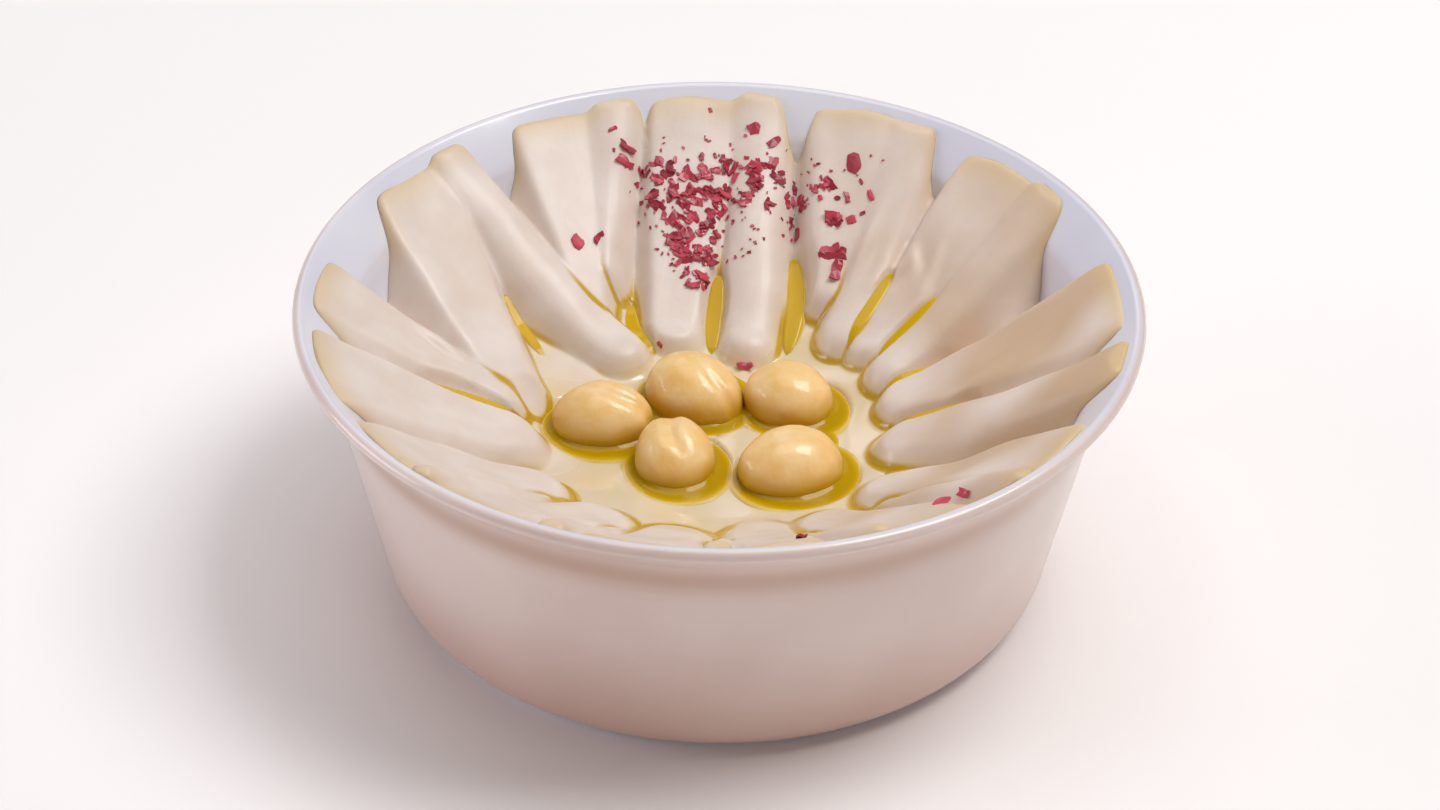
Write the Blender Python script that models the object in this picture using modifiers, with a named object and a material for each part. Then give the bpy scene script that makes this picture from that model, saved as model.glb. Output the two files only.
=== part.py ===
"""Hummus in a small white bowl, with five chickpeas, pools of oil and crimson flakes.

The origin is the centre of the bowl's base. +Z is up and the front of the dish faces -Y.
Named sizes are in millimetres and degrees. Meshes are scaled to metres when they are made.
Azimuths run anticlockwise from +X, seen from above.
"""
import math
import random
from collections import namedtuple

import bmesh
import bpy
import numpy as np
from mathutils import Matrix, Vector

MM = 0.001
GAP = 0.35
MERGE = 0.00001
WELD = 0.01
TINY = 0.000001
ABOVE = 80.0

# Bowl: a straight tapered wall that flares out into a thin rounded rim.
RIM_RADIUS = 57.0
BOWL_HEIGHT = 42.5
RIM_THICKNESS = 1.9
FLARE_ANGLE = 46.0
NECK_HEIGHT = 36.0
NECK_RADIUS = 52.7
NECK_BEND = 0.7
UNDER_REACH = 0.72
WALL_TAPER = 0.205
WALL_THICKNESS = 2.4
FLOOR_THICKNESS = 3.0
BASE_CORNER = 6.2
FLOOR_CORNER = 5.0
LIP_STEPS = 5
FLOOR_STEPS = 3
BASE_STEPS = 4
BOWL_STEPS = 46

# Hummus: a shallow middle, and a ring of spoon strokes that climb to the rim.
MIDDLE_LEVEL = 19.0
MIDDLE_RADIUS = 18.0
CREASE_LEVEL = 29.5
CREASE_RADIUS = 50.0
CREASE_CURVE = 1.45
TIP_LEVEL = 22.2
TIP_RADIUS = 22.0
TOP_LEVEL = 41.4
TOP_RADIUS = 54.0
HIGHEST_LEVEL = 41.8
STROKE_CURVE = 1.25
SHOULDER_ROUND = 1.2
WALL_SHOULDER = 0.9
WALL_SHARPNESS = 4.0
BLEND = 0.5
TOP_EDGE_ROUND = 1.6
TOP_EDGE_DROP = 0.4
TOP_EDGE_STEP = 1.5
RIPPLE_HEIGHT = 0.2
RIPPLES = ((0.21, 0.17, 1.3), (0.11, -0.16, 0.0), (-0.19, 0.23, 2.0))
HUMMUS_STEPS = 108
INNER_RINGS = (8.5, 14.5)
RING_START = 17.5
RING_COUNT = 18
RING_SPREAD = 1.15
SIDE_SHARE = 0.45
CONTACT_START = 40.0
CONTACT_TRIES = 24

# A face is the broad dished part of a stroke, a fold is the rounded ridge beside it.
# Their sides fall steeply at the wall, and more gently at the tip.
TIP_SLOPE = 1.9
TIP_LIFT = 0.35
FRONT_EASE = 1.2
FRONT_DROP = 1.5
Section = namedtuple("Section", "lift dish left_slope right_slope")
FACE = Section(lift=0.0, dish=0.6, left_slope=2.2, right_slope=2.6)
SLOPING_FACE = Section(lift=0.0, dish=0.6, left_slope=1.2, right_slope=1.4)
FOLD = Section(lift=1.2, dish=-1.8, left_slope=2.6, right_slope=3.2)

Stroke = namedtuple("Stroke", "section wall_azimuth wall_width tip_azimuth tip_radius tip_width")
STROKES = (
    Stroke(FACE, 144.8, 7.4, 169, 25.5, 3.6),
    Stroke(FOLD, 136.6, 4.4, 129, 18.8, 3.4),
    Stroke(FACE, 116.6, 7.4, 128, 27.5, 1.6),
    Stroke(FOLD, 107.2, 4.7, 118.5, 32.5, 1.2),
    Stroke(FACE, 94.0, 6.9, 106, 20.3, 3.2),
    Stroke(FOLD, 84.2, 4.7, 79, 18.3, 3.3),
    Stroke(FACE, 68.4, 7.0, 61, 30.0, 1.8),
    Stroke(FOLD, 58.9, 4.3, 49, 24.0, 3.1),
    Stroke(FACE, 42.0, 7.0, 39.5, 25.0, 2.5),
    Stroke(FOLD, 31.6, 4.5, 25, 23.5, 2.8),
    Stroke(SLOPING_FACE, 4, 7.6, 10, 23.2, 3.2),
    Stroke(FOLD, 347, 5.2, 350, 22.2, 3.8),
    Stroke(FACE, 325, 6.0, 325, 25.0, 3.3),
    Stroke(FOLD, 315, 3.0, 314, 31.0, 1.6),
    Stroke(FACE, 301, 5.4, 301, 24.6, 3.1),
    Stroke(FOLD, 292, 2.8, 291, 31.0, 1.5),
    Stroke(FACE, 279, 5.4, 283, 22.3, 3.5),
    Stroke(FOLD, 270, 2.8, 272, 31.0, 1.4),
    Stroke(FACE, 257, 5.4, 258.5, 24.0, 3.3),
    Stroke(FOLD, 248, 2.8, 247.5, 31.0, 1.4),
    Stroke(FACE, 235.5, 5.2, 237.5, 25.5, 3.4),
    Stroke(FOLD, 227, 2.6, 227.5, 32.0, 1.4),
    Stroke(FACE, 216.5, 7.0, 217, 27.0, 3.4),
    Stroke(FACE, 196.5, 8.6, 192, 25.0, 3.8),
    Stroke(SLOPING_FACE, 176, 6.0, 177, 27.5, 2.2),
)

# Chickpeas: centre, half sizes, and the azimuth and tilt that the beak points to.
PEA_LEVEL = 19.9
PEA_SEGMENTS = 12
PEA_RINGS = 8
BEAK_HEIGHT = 0.16
BEAK_SHARPNESS = 0.22
BEAK_PULL = 2.0
SEAM_DEPTH = 0.07
SEAM_WIDTH = 0.22
Pea = namedtuple("Pea", "x y length width height azimuth tilt")
PEAS = (
    Pea(-16.3, 2.0, 6.7, 5.6, 5.4, -8, 10),
    Pea(-3.6, 8.5, 6.9, 6.1, 5.8, -35, -8),
    Pea(10.0, 7.2, 6.1, 5.7, 5.5, 160, 6),
    Pea(-5.8, -7.2, 5.9, 5.5, 5.3, 100, 28),
    Pea(10.2, -8.4, 7.0, 6.0, 5.7, 200, 5),
)

# Oil: a pool lies in a dimple round each chickpea, a little wider at the front and right.
OIL_LEVEL = 18.9
POOL_MARGIN = 1.7
POOL_SHIFT = (0.5, -0.6)
POOL_SEGMENTS = 12
POOL_RINGS = 5
BRIDGE_CENTRE = (13.2, -0.8)
BRIDGE_HALF = (3.2, 3.2, 2.4)

# Oil streaks lie in the creases between strokes.
STREAK_THICKNESS = 0.75
STREAK_SINK = 0.45
STREAK_SEGMENTS = 6
STREAK_RINGS = 6
CREASE_SEARCH = 2.0
CREASE_TRIES = 41
Streak = namedtuple("Streak", "start_radius start_azimuth end_radius end_azimuth width")
STREAKS = (
    Streak(20.0, 92.5, 32.0, 90, 2.7),
    Streak(22.0, 64, 37.5, 73.5, 3.0),
    Streak(29.5, 148, 38.5, 143, 1.7),
    Streak(20.5, 118, 31.0, 115, 2.0),
    Streak(28.0, 182, 41.0, 184, 2.4),
    Streak(25.0, 44, 37.5, 48, 2.0),
    Streak(24.0, 18, 36.5, 20, 1.8),
    Streak(23.5, 360, 36.0, 357, 1.8),
    Streak(24.5, 337, 34.0, 338, 1.7),
    Streak(27.0, 313, 34.0, 311, 2.0),
    Streak(26.0, 204, 36.0, 206, 1.8),
    Streak(27.0, 270, 33.0, 268, 1.8),
    Streak(26.5, 32, 37.0, 34, 1.8),
)

# Crimson flakes: one dense patch at the back, a band beside it, and some that lie alone.
FLAKE_SEED = 11
FLAKE_SIZES = (0.9, 1.5)
FLAKE_LENGTH = (0.8, 1.1)
FLAKE_WIDTH = (0.5, 0.8)
FLAKE_THINNESS = 0.45
FLAKE_JITTER = 0.28
FLAKE_SINK = 0.2
FLAKE_SPACING = 1.9
FLAKE_TRIES = 4000
PATCH_COUNT = 30
PATCH_OUTER = (46.0, 84.0, 108.0)
PATCH_INNER = (32.5, 92.5, 99.5)
BAND_COUNT = 14
BAND_OUTER = (46.5, 62.0, 83.0)
BAND_INNER = (36.0, 60.0, 82.0)
SINGLE_FLAKES = (
    (48.0, 106.5, 1.6),
    (46.0, 101.5, 1.0),
    (37.5, 122.5, 1.5),
    (37.5, 118.0, 0.9),
    (49.5, 84.5, 1.0),
    (48.5, 81.0, 1.1),
    (35.5, 60.5, 1.8),
    (34.5, 63.0, 1.5),
    (47.0, 312.0, 1.1),
    (48.0, 306.0, 1.1),
    (47.0, 283.0, 1.1),
)

WHITE_GLAZE = ((0.80, 0.78, 0.79), 0.18)
CHICKPEA_PASTE = ((0.73, 0.62, 0.52), 0.42)
CHICKPEA_SKIN = ((0.80, 0.52, 0.26), 0.30)
OLIVE_OIL = ((0.52, 0.33, 0.02), 0.06)


def polar(radius, azimuth):
    """Give the plan position at a radius and an azimuth in degrees."""
    angle = np.radians(azimuth)
    return radius * np.cos(angle), radius * np.sin(angle)


def arc(centre, radius, start, end, steps):
    """List the points of an arc from start to end degrees, both ends included."""
    angles = [math.radians(start + (end - start) * k / steps) for k in range(steps + 1)]
    return [(centre[0] + radius * math.cos(a), centre[1] + radius * math.sin(a)) for a in angles]


def outer_wall(height):
    """Radius of the bowl's outer wall at a height below the neck."""
    return NECK_RADIUS - (NECK_HEIGHT - height) * WALL_TAPER


def lip_arc():
    """Rounded edge of the rim, from where the inside flare ends to the flare's underside."""
    roll = RIM_THICKNESS / 2
    centre = (RIM_RADIUS - roll, BOWL_HEIGHT - roll)
    return arc(centre, roll, FLARE_ANGLE + 90, FLARE_ANGLE - 90, LIP_STEPS)


def inner_radius(height):
    """Radius of the bowl's inside at a height above the floor's corner."""
    lip_radius, lip_height = lip_arc()[0]
    neck_radius = NECK_RADIUS - WALL_THICKNESS
    rise = (height - NECK_HEIGHT) / (lip_height - NECK_HEIGHT)
    flare = neck_radius + (lip_radius - neck_radius) * rise
    wall = outer_wall(height) - WALL_THICKNESS
    return np.where(height > NECK_HEIGHT, flare, wall)


def bowl_profile():
    """Half section of the bowl: up the inside, over the rim and down the outer side."""
    tilt = math.degrees(math.atan(WALL_TAPER))
    stretch = math.hypot(1.0, WALL_TAPER)
    floor_centre = (
        float(inner_radius(FLOOR_THICKNESS + FLOOR_CORNER)) - FLOOR_CORNER * stretch,
        FLOOR_THICKNESS + FLOOR_CORNER,
    )
    base_centre = (outer_wall(BASE_CORNER) - BASE_CORNER * stretch, BASE_CORNER)
    lip = lip_arc()
    under = lip[-1]
    reach = (under[0] - NECK_RADIUS) * UNDER_REACH
    under_bend = (under[0] - reach, under[1] - reach * math.tan(math.radians(FLARE_ANGLE)))
    bends = (NECK_HEIGHT - NECK_BEND, NECK_HEIGHT + NECK_BEND)
    inside_bend = [(float(inner_radius(level)), level) for level in bends]
    profile = [(0.0, FLOOR_THICKNESS)]
    profile += arc(floor_centre, FLOOR_CORNER, -90, -tilt, FLOOR_STEPS)
    profile += inside_bend
    profile += lip
    profile += [under_bend, (NECK_RADIUS, NECK_HEIGHT - NECK_BEND)]
    profile += arc(base_centre, BASE_CORNER, -tilt, -90, BASE_STEPS)
    profile += [(0.0, 0.0)]
    return profile


def crest(radius):
    """Height of a spoon stroke's back along the bowl's radius."""
    rise = np.clip((radius - TIP_RADIUS) / (TOP_RADIUS - TIP_RADIUS), 0.0, 1.0)
    return TIP_LEVEL + (TOP_LEVEL - TIP_LEVEL) * rise ** STROKE_CURVE


def crease_floor(x, y):
    """Height of the paste under the strokes, nearly level in the middle."""
    radius = np.hypot(x, y)
    rise = np.maximum(radius - MIDDLE_RADIUS, 0.0) / (CREASE_RADIUS - MIDDLE_RADIUS)
    return MIDDLE_LEVEL + (CREASE_LEVEL - MIDDLE_LEVEL) * rise ** CREASE_CURVE


def stroke_height(x, y, stroke):
    """Height of one spoon stroke, which falls away outside its rounded outline."""
    section = stroke.section
    tip_x, tip_y = polar(stroke.tip_radius + stroke.tip_width, stroke.tip_azimuth)
    wall_x, wall_y = polar(TOP_RADIUS, stroke.wall_azimuth)
    run_x, run_y = wall_x - tip_x, wall_y - tip_y
    length = math.hypot(run_x, run_y)
    along = np.clip(((x - tip_x) * run_x + (y - tip_y) * run_y) / length ** 2, 0.0, 1.0)
    width = stroke.tip_width + (stroke.wall_width - stroke.tip_width) * along
    off_x, off_y = x - tip_x - run_x * along, y - tip_y - run_y * along
    distance = np.hypot(off_x, off_y) + TINY
    leftness = (run_x * off_y - run_y * off_x) / length / distance
    wall_slope = (section.left_slope + section.right_slope) / 2
    wall_slope = wall_slope + leftness * (section.left_slope - section.right_slope) / 2
    front = max(0.0, -math.sin(math.radians(stroke.tip_azimuth)))
    tip_slope = TIP_SLOPE - FRONT_EASE * front
    slope = tip_slope + (wall_slope - tip_slope) * along
    outside = distance - width
    near_wall = along ** WALL_SHARPNESS
    shoulder = SHOULDER_ROUND + (WALL_SHOULDER - SHOULDER_ROUND) * near_wall
    fall = slope * (outside + np.hypot(outside, shoulder)) / 2
    across = np.clip(distance / width, 0.0, 1.0)
    hollow = max(section.dish, 0.0) * (1.0 - near_wall) + min(section.dish, 0.0)
    crown = (section.lift + hollow * across ** 2) * (TIP_LIFT + (1.0 - TIP_LIFT) * along)
    return crest(np.hypot(x, y)) + crown - fall - FRONT_DROP * front * (1.0 - along) ** 2


def hummus_height(x, y):
    """Height of the hummus: the highest of its strokes and floor, softly blended."""
    layers = [crease_floor(x, y)] + [stroke_height(x, y, stroke) for stroke in STROKES]
    layers = np.stack(layers)
    highest = layers.max(axis=0)
    blended = highest + BLEND * np.log(np.exp((layers - highest) / BLEND).sum(axis=0))
    ripples = sum(np.sin(x * across + y * back + start) for across, back, start in RIPPLES)
    return np.minimum(blended + RIPPLE_HEIGHT * ripples, HIGHEST_LEVEL)


def wall_contact(azimuth):
    """Radius at which the hummus surface meets the bowl, for each azimuth."""
    low = np.full_like(azimuth, CONTACT_START)
    high = np.full_like(azimuth, RIM_RADIUS)
    for _ in range(CONTACT_TRIES):
        middle = (low + high) / 2
        edge_level = hummus_height(*polar(middle, azimuth)) - TOP_EDGE_DROP
        inside = middle + GAP < inner_radius(edge_level)
        low = np.where(inside, middle, low)
        high = np.where(inside, high, middle)
    return (low + high) / 2


def material(name, finish):
    """Make a Principled material from a colour and a roughness."""
    colour, roughness = finish
    made = bpy.data.materials.new(name)
    made.use_nodes = True
    shader = made.node_tree.nodes["Principled BSDF"]
    shader.inputs["Base Color"].default_value = (*colour, 1.0)
    shader.inputs["Roughness"].default_value = roughness
    shader.inputs["Metallic"].default_value = 0.0
    return made


def collection(name):
    """Make a collection in the scene."""
    made = bpy.data.collections.new(name)
    bpy.context.scene.collection.children.link(made)
    return made


def add_object(name, bm, group, made_material=None):
    """Turn a bmesh in millimetres into an object in metres."""
    bmesh.ops.scale(bm, vec=(MM, MM, MM), verts=bm.verts)
    mesh = bpy.data.meshes.new(name)
    bm.to_mesh(mesh)
    bm.free()
    made = bpy.data.objects.new(name, mesh)
    group.objects.link(made)
    if made_material:
        mesh.materials.append(made_material)
    return made


def add_helper(name, bm, group):
    """Make an object that only cuts others or joins them."""
    helper = add_object(name, bm, group)
    helper.hide_render = True
    helper.display_type = "WIRE"
    return helper


def boolean(target, operation, group):
    """Give an object a Boolean modifier that works with all of a collection."""
    modifier = target.modifiers.new(operation.title(), "BOOLEAN")
    modifier.operation = operation
    modifier.operand_type = "COLLECTION"
    modifier.collection = group
    modifier.solver = "EXACT"
    return modifier


def apply_modifiers(target):
    """Replace an object's mesh with its evaluated one."""
    graph = bpy.context.evaluated_depsgraph_get()
    evaluated = target.evaluated_get(graph)
    mesh = bpy.data.meshes.new_from_object(evaluated)
    target.modifiers.clear()
    target.data = mesh


def remove_group(group):
    """Remove a collection of helpers with its objects."""
    for helper in list(group.objects):
        bpy.data.objects.remove(helper)
    bpy.data.collections.remove(group)


def keep_largest_body(target):
    """Drop the loose scraps that a union leaves, and fill the hollows that it seals."""
    bm = bmesh.new()
    bm.from_mesh(target.data)
    waiting = set(bm.faces)
    bodies = []
    while waiting:
        front = [waiting.pop()]
        body = list(front)
        while front:
            edges = front.pop().edges
            near = {face for edge in edges if edge.is_manifold for face in edge.link_faces}
            fresh = near & waiting
            waiting -= fresh
            front += fresh
            body += fresh
        bodies.append(body)
    bodies.sort(key=len)
    for body in bodies[:-1]:
        bmesh.ops.delete(bm, geom=body, context="FACES")
    bm.to_mesh(target.data)
    bm.free()


def make_bowl(group):
    """Turn the bowl's half section round Z."""
    bm = bmesh.new()
    corners = [bm.verts.new((r, 0.0, z)) for r, z in bowl_profile()]
    for first, second in zip(corners, corners[1:]):
        bm.edges.new((first, second))
    bowl = add_object("bowl", bm, group, material("white_glaze", WHITE_GLAZE))
    screw = bowl.modifiers.new("Turn", "SCREW")
    screw.axis = "Z"
    screw.steps = BOWL_STEPS
    screw.render_steps = BOWL_STEPS
    screw.use_merge_vertices = True
    screw.merge_threshold = MERGE
    screw.use_smooth_shade = True
    return bowl


def make_web(rings, steps):
    """Spin a flat disc of concentric rings, one millimetre apart."""
    bm = bmesh.new()
    spoke = [bm.verts.new((float(k), 0.0, 0.0)) for k in range(rings + 1)]
    edges = [bm.edges.new(pair) for pair in zip(spoke, spoke[1:])]
    bmesh.ops.spin(
        bm, geom=spoke + edges, cent=(0, 0, 0), axis=(0, 0, 1),
        angle=math.tau, steps=steps, use_merge=True,
    )
    bmesh.ops.remove_doubles(bm, verts=bm.verts, dist=WELD)
    return bm


def hummus_rings():
    """Place each ring of the web: over the top, down the wall and under to the floor."""
    azimuths = np.arange(HUMMUS_STEPS) * 360.0 / HUMMUS_STEPS
    contact = wall_contact(azimuths)
    for way in (1, -1):
        contact = np.minimum(contact, np.roll(contact, way) + TOP_EDGE_STEP)
    contact_level = hummus_height(*polar(contact, azimuths))
    rings = [(np.full_like(azimuths, radius), None) for radius in (0.0, *INNER_RINGS)]
    outer = np.linspace(0.0, 1.0, RING_COUNT) ** RING_SPREAD
    rings += [(RING_START + (contact - RING_START) * share, None) for share in outer]
    corner_level = FLOOR_THICKNESS + FLOOR_CORNER
    in_flare = contact_level - TOP_EDGE_DROP > NECK_HEIGHT
    neck = np.where(in_flare, NECK_HEIGHT, contact_level - TOP_EDGE_ROUND)
    for level in (neck, corner_level + (neck - corner_level) * SIDE_SHARE):
        rings.append((inner_radius(level) - GAP, level))
    corner = np.full_like(azimuths, corner_level)
    floor = np.full_like(azimuths, FLOOR_THICKNESS + GAP)
    rings.append((inner_radius(corner) - GAP, corner))
    rings.append((inner_radius(corner) - FLOOR_CORNER - GAP, floor))
    rings.append((np.zeros_like(azimuths), floor))
    places = []
    for radius, level in rings:
        x, y = polar(radius, azimuths)
        if level is None:
            edge = np.clip(radius - contact + TOP_EDGE_ROUND, 0.0, None) / TOP_EDGE_ROUND
            level = hummus_height(x, y) - TOP_EDGE_DROP * edge ** 2
        places.append(np.stack([x, y, level], axis=-1))
    return places


def make_hummus_body():
    """Lay a spun web over the hummus surface, down the wall and under to the floor."""
    places = hummus_rings()
    bm = make_web(len(places) - 1, HUMMUS_STEPS)
    for knot in bm.verts:
        ring = round(knot.co.to_2d().length)
        turn = math.atan2(knot.co.y, knot.co.x) % math.tau
        step = round(turn * HUMMUS_STEPS / math.tau) % HUMMUS_STEPS
        knot.co = places[ring][step]
    bmesh.ops.remove_doubles(bm, verts=bm.verts, dist=WELD)
    bmesh.ops.triangulate(bm, faces=bm.faces)
    bm.normal_update()
    bmesh.ops.recalc_face_normals(bm, faces=bm.faces)
    return bm


def ellipsoid(centre, half_sizes, segments, rings):
    """Make a ball stretched to its half sizes."""
    bm = bmesh.new()
    place = Matrix.Translation(centre) @ Matrix.Diagonal((*half_sizes, 1.0))
    bmesh.ops.create_uvsphere(
        bm, u_segments=segments, v_segments=rings, radius=1.0, matrix=place
    )
    return bm


def pea_frame(pea):
    """Placement of a chickpea: its beak looks along local +X."""
    turn = Matrix.Rotation(math.radians(pea.azimuth), 4, "Z")
    tilt = Matrix.Rotation(math.radians(-pea.tilt), 4, "Y")
    return Matrix.Translation((pea.x, pea.y, PEA_LEVEL)) @ turn @ tilt


def make_pea_mesh(pea, growth=0.0):
    """A ball with a small beak at one end and a shallow seam beside it."""
    bm = bmesh.new()
    bmesh.ops.create_uvsphere(
        bm, u_segments=PEA_SEGMENTS, v_segments=PEA_RINGS, radius=1.0,
        matrix=Matrix.Rotation(math.radians(90), 4, "Y"),
    )
    for knot in bm.verts:
        way = knot.co.normalized()
        beak = BEAK_HEIGHT * math.exp(-(1.0 - way.x) / BEAK_SHARPNESS)
        seam = SEAM_DEPTH * math.exp(-(way.y / SEAM_WIDTH) ** 2) * max(0.0, way.x)
        size = 1.0 + beak - seam
        knot.co = Vector((
            way.x * (pea.length * size - beak * BEAK_PULL + growth),
            way.y * (pea.width * size + growth),
            way.z * (pea.height * size + growth),
        ))
    bm.transform(pea_frame(pea))
    return bm


def pool_centre(pea):
    """Centre of the dimple that holds a chickpea and its oil."""
    return (pea.x + POOL_SHIFT[0], pea.y + POOL_SHIFT[1], OIL_LEVEL)


def make_dimple_mesh(pea, growth):
    """The lower half of a ball is the dimple, a little wider than its chickpea."""
    turn = Matrix.Rotation(math.radians(pea.azimuth), 4, "Z")
    depth = pea.height - (PEA_LEVEL - OIL_LEVEL) + growth
    half = (pea.length + POOL_MARGIN + growth, pea.width + POOL_MARGIN + growth, depth)
    bm = ellipsoid((0, 0, 0), half, POOL_SEGMENTS, POOL_RINGS)
    bm.transform(Matrix.Translation(pool_centre(pea)) @ turn)
    return bm


def make_dimple_meshes(growth):
    """All the dimples, with the shallow one that joins the two on the right."""
    bridge = [size + growth for size in BRIDGE_HALF]
    meshes = [make_dimple_mesh(pea, growth) for pea in PEAS]
    meshes.append(ellipsoid((*BRIDGE_CENTRE, OIL_LEVEL), bridge, POOL_SEGMENTS, POOL_RINGS))
    return meshes


def crease_azimuth(radius, azimuth):
    """Azimuth of the lowest place near a given one, at a radius."""
    tries = azimuth + np.linspace(-CREASE_SEARCH, CREASE_SEARCH, CREASE_TRIES)
    heights = hummus_height(*polar(np.full_like(tries, radius), tries))
    return float(tries[int(np.argmin(heights))])


def streak_point(streak, share):
    """Point on the crease that a streak of oil runs along, at a share of its length."""
    radius = streak.start_radius + (streak.end_radius - streak.start_radius) * share
    turn = (streak.end_azimuth - streak.start_azimuth) * share
    x, y = polar(radius, crease_azimuth(radius, streak.start_azimuth + turn))
    return Vector((float(x), float(y), float(hummus_height(x, y)) + STREAK_SINK))


def make_streak_mesh(streak, growth=0.0):
    """A flat spindle of oil, bent along its crease."""
    start, middle, end = (streak_point(streak, share) for share in (0.0, 0.5, 1.0))
    bm = bmesh.new()
    bmesh.ops.create_uvsphere(
        bm, u_segments=STREAK_SEGMENTS, v_segments=STREAK_RINGS, radius=1.0,
        matrix=Matrix.Rotation(math.radians(90), 4, "Y"),
    )
    length = (end - start).length
    forward = (end - start).normalized()
    sideways = Vector((0, 0, 1)).cross(forward).normalized()
    upward = forward.cross(sideways)
    for knot in bm.verts:
        share = (knot.co.x * (1.0 + 2.0 * growth / length) + 1.0) / 2.0
        bend = 4.0 * share * (1.0 - share)
        line = start.lerp(end, share) + (middle - start.lerp(end, 0.5)) * bend
        knot.co = (
            line
            + sideways * knot.co.y * (streak.width / 2 + growth)
            + upward * knot.co.z * (STREAK_THICKNESS + growth)
        )
    return bm


def drop(hummus, x, y):
    """Point and normal of the hummus straight under a place."""
    above = Vector((x, y, ABOVE)) * MM
    _, spot, normal, _ = hummus.ray_cast(above, Vector((0, 0, -1)))
    return spot / MM, normal


def lies_flat(hummus, x, y, size):
    """Say whether a flake would touch the hummus all round."""
    spot, normal = drop(hummus, x, y)
    rim = [drop(hummus, x + dx, y + dy)[0] for dx, dy in arc((0.0, 0.0), size, 0, 360, 8)]
    return max(abs((point - spot).dot(normal)) for point in rim) < FLAKE_SINK


def flake_places(hummus):
    """Draw where the flakes lie: radius, azimuth and size of each."""
    draw = random.Random(FLAKE_SEED)
    places = list(SINGLE_FLAKES)
    for count, outer, inner in (
        (PATCH_COUNT, PATCH_OUTER, PATCH_INNER),
        (BAND_COUNT, BAND_OUTER, BAND_INNER),
    ):
        laid = 0
        for _ in range(FLAKE_TRIES):
            if laid == count:
                break
            share = draw.random()
            radius = inner[0] + (outer[0] - inner[0]) * share
            first = inner[1] + (outer[1] - inner[1]) * share
            last = inner[2] + (outer[2] - inner[2]) * share
            azimuth = draw.uniform(first, last)
            size = draw.uniform(*FLAKE_SIZES)
            spot = Vector(polar(radius, azimuth))
            near = [(spot - Vector(polar(r, a))).length for r, a, _ in places]
            if min(near) > FLAKE_SPACING and lies_flat(hummus, *spot, size):
                places.append((radius, azimuth, size))
                laid += 1
    return places


def make_flake_mesh(hummus, radius, azimuth, size, draw):
    """A thin angular chip, dropped straight down onto the hummus."""
    spot, normal = drop(hummus, *polar(radius, azimuth))
    lean = normal.to_track_quat("Z", "X").to_matrix().to_4x4()
    spin = Matrix.Rotation(draw.uniform(0.0, math.tau), 4, "Z")
    half = (
        size * draw.uniform(*FLAKE_LENGTH),
        size * draw.uniform(*FLAKE_WIDTH),
        size * FLAKE_THINNESS,
    )
    bm = bmesh.new()
    bmesh.ops.create_icosphere(bm, subdivisions=1, radius=1.0)
    for knot in bm.verts:
        knot.co *= draw.uniform(1.0 - FLAKE_JITTER, 1.0 + FLAKE_JITTER)
    place = Matrix.Translation(spot - normal * FLAKE_SINK) @ lean @ spin
    bm.transform(place @ Matrix.Diagonal((*half, 1.0)))
    return bm


def make_hummus(group):
    """The paste, cut by the dimples and oil streaks, with the flakes fused on."""
    hummus = add_object("hummus", make_hummus_body(), group, material("paste", CHICKPEA_PASTE))
    cutters = collection("hummus_cutters")
    for number, dimple in enumerate(make_dimple_meshes(GAP), 1):
        add_helper(f"dimple_{number}", dimple, cutters)
    for number, streak in enumerate(STREAKS, 1):
        add_helper(f"groove_{number}", make_streak_mesh(streak, GAP), cutters)
    boolean(hummus, "DIFFERENCE", cutters)
    apply_modifiers(hummus)
    remove_group(cutters)
    flakes = collection("flakes")
    draw = random.Random(FLAKE_SEED + 1)
    for number, place in enumerate(flake_places(hummus), 1):
        add_helper(f"flake_{number}", make_flake_mesh(hummus, *place, draw), flakes)
    boolean(hummus, "UNION", flakes)
    apply_modifiers(hummus)
    remove_group(flakes)
    keep_largest_body(hummus)
    return hummus


def make_peas(group):
    """Five whole chickpeas, each half sunk in the middle of the hummus."""
    skin = material("chickpea_skin", CHICKPEA_SKIN)
    for number, pea in enumerate(PEAS, 1):
        add_object(f"chickpea_{number}", make_pea_mesh(pea), group, skin)


def make_pool(group, oil):
    """Oil that fills the dimples round the chickpeas, level on top."""
    first, *rest = make_dimple_meshes(0.0)
    pool = add_object("oil_pool", first, group, oil)
    others = collection("pool_parts")
    for number, dimple in enumerate(rest, 2):
        add_helper(f"pool_{number}", dimple, others)
    boolean(pool, "UNION", others)
    apply_modifiers(pool)
    remove_group(others)
    cutters = collection("pool_cutters")
    above = bmesh.new()
    place = Matrix.Translation((0, 0, OIL_LEVEL + ABOVE / 2))
    bmesh.ops.create_cube(above, size=ABOVE, matrix=place)
    add_helper("above_oil", above, cutters)
    for number, pea in enumerate(PEAS, 1):
        add_helper(f"pea_room_{number}", make_pea_mesh(pea, GAP), cutters)
    boolean(pool, "DIFFERENCE", cutters)
    apply_modifiers(pool)
    remove_group(cutters)
    return pool


def make_streaks(group, oil):
    """Streaks of oil in the creases between the strokes."""
    for number, streak in enumerate(STREAKS, 1):
        add_object(f"oil_streak_{number}", make_streak_mesh(streak), group, oil)


def main():
    """Clear the scene and build the dish."""
    for old in list(bpy.data.objects):
        bpy.data.objects.remove(old)
    dish = collection("hummus_dish")
    oil = material("olive_oil", OLIVE_OIL)
    make_bowl(dish)
    make_hummus(dish)
    make_peas(dish)
    make_pool(dish, oil)
    make_streaks(dish, oil)


main()
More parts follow.
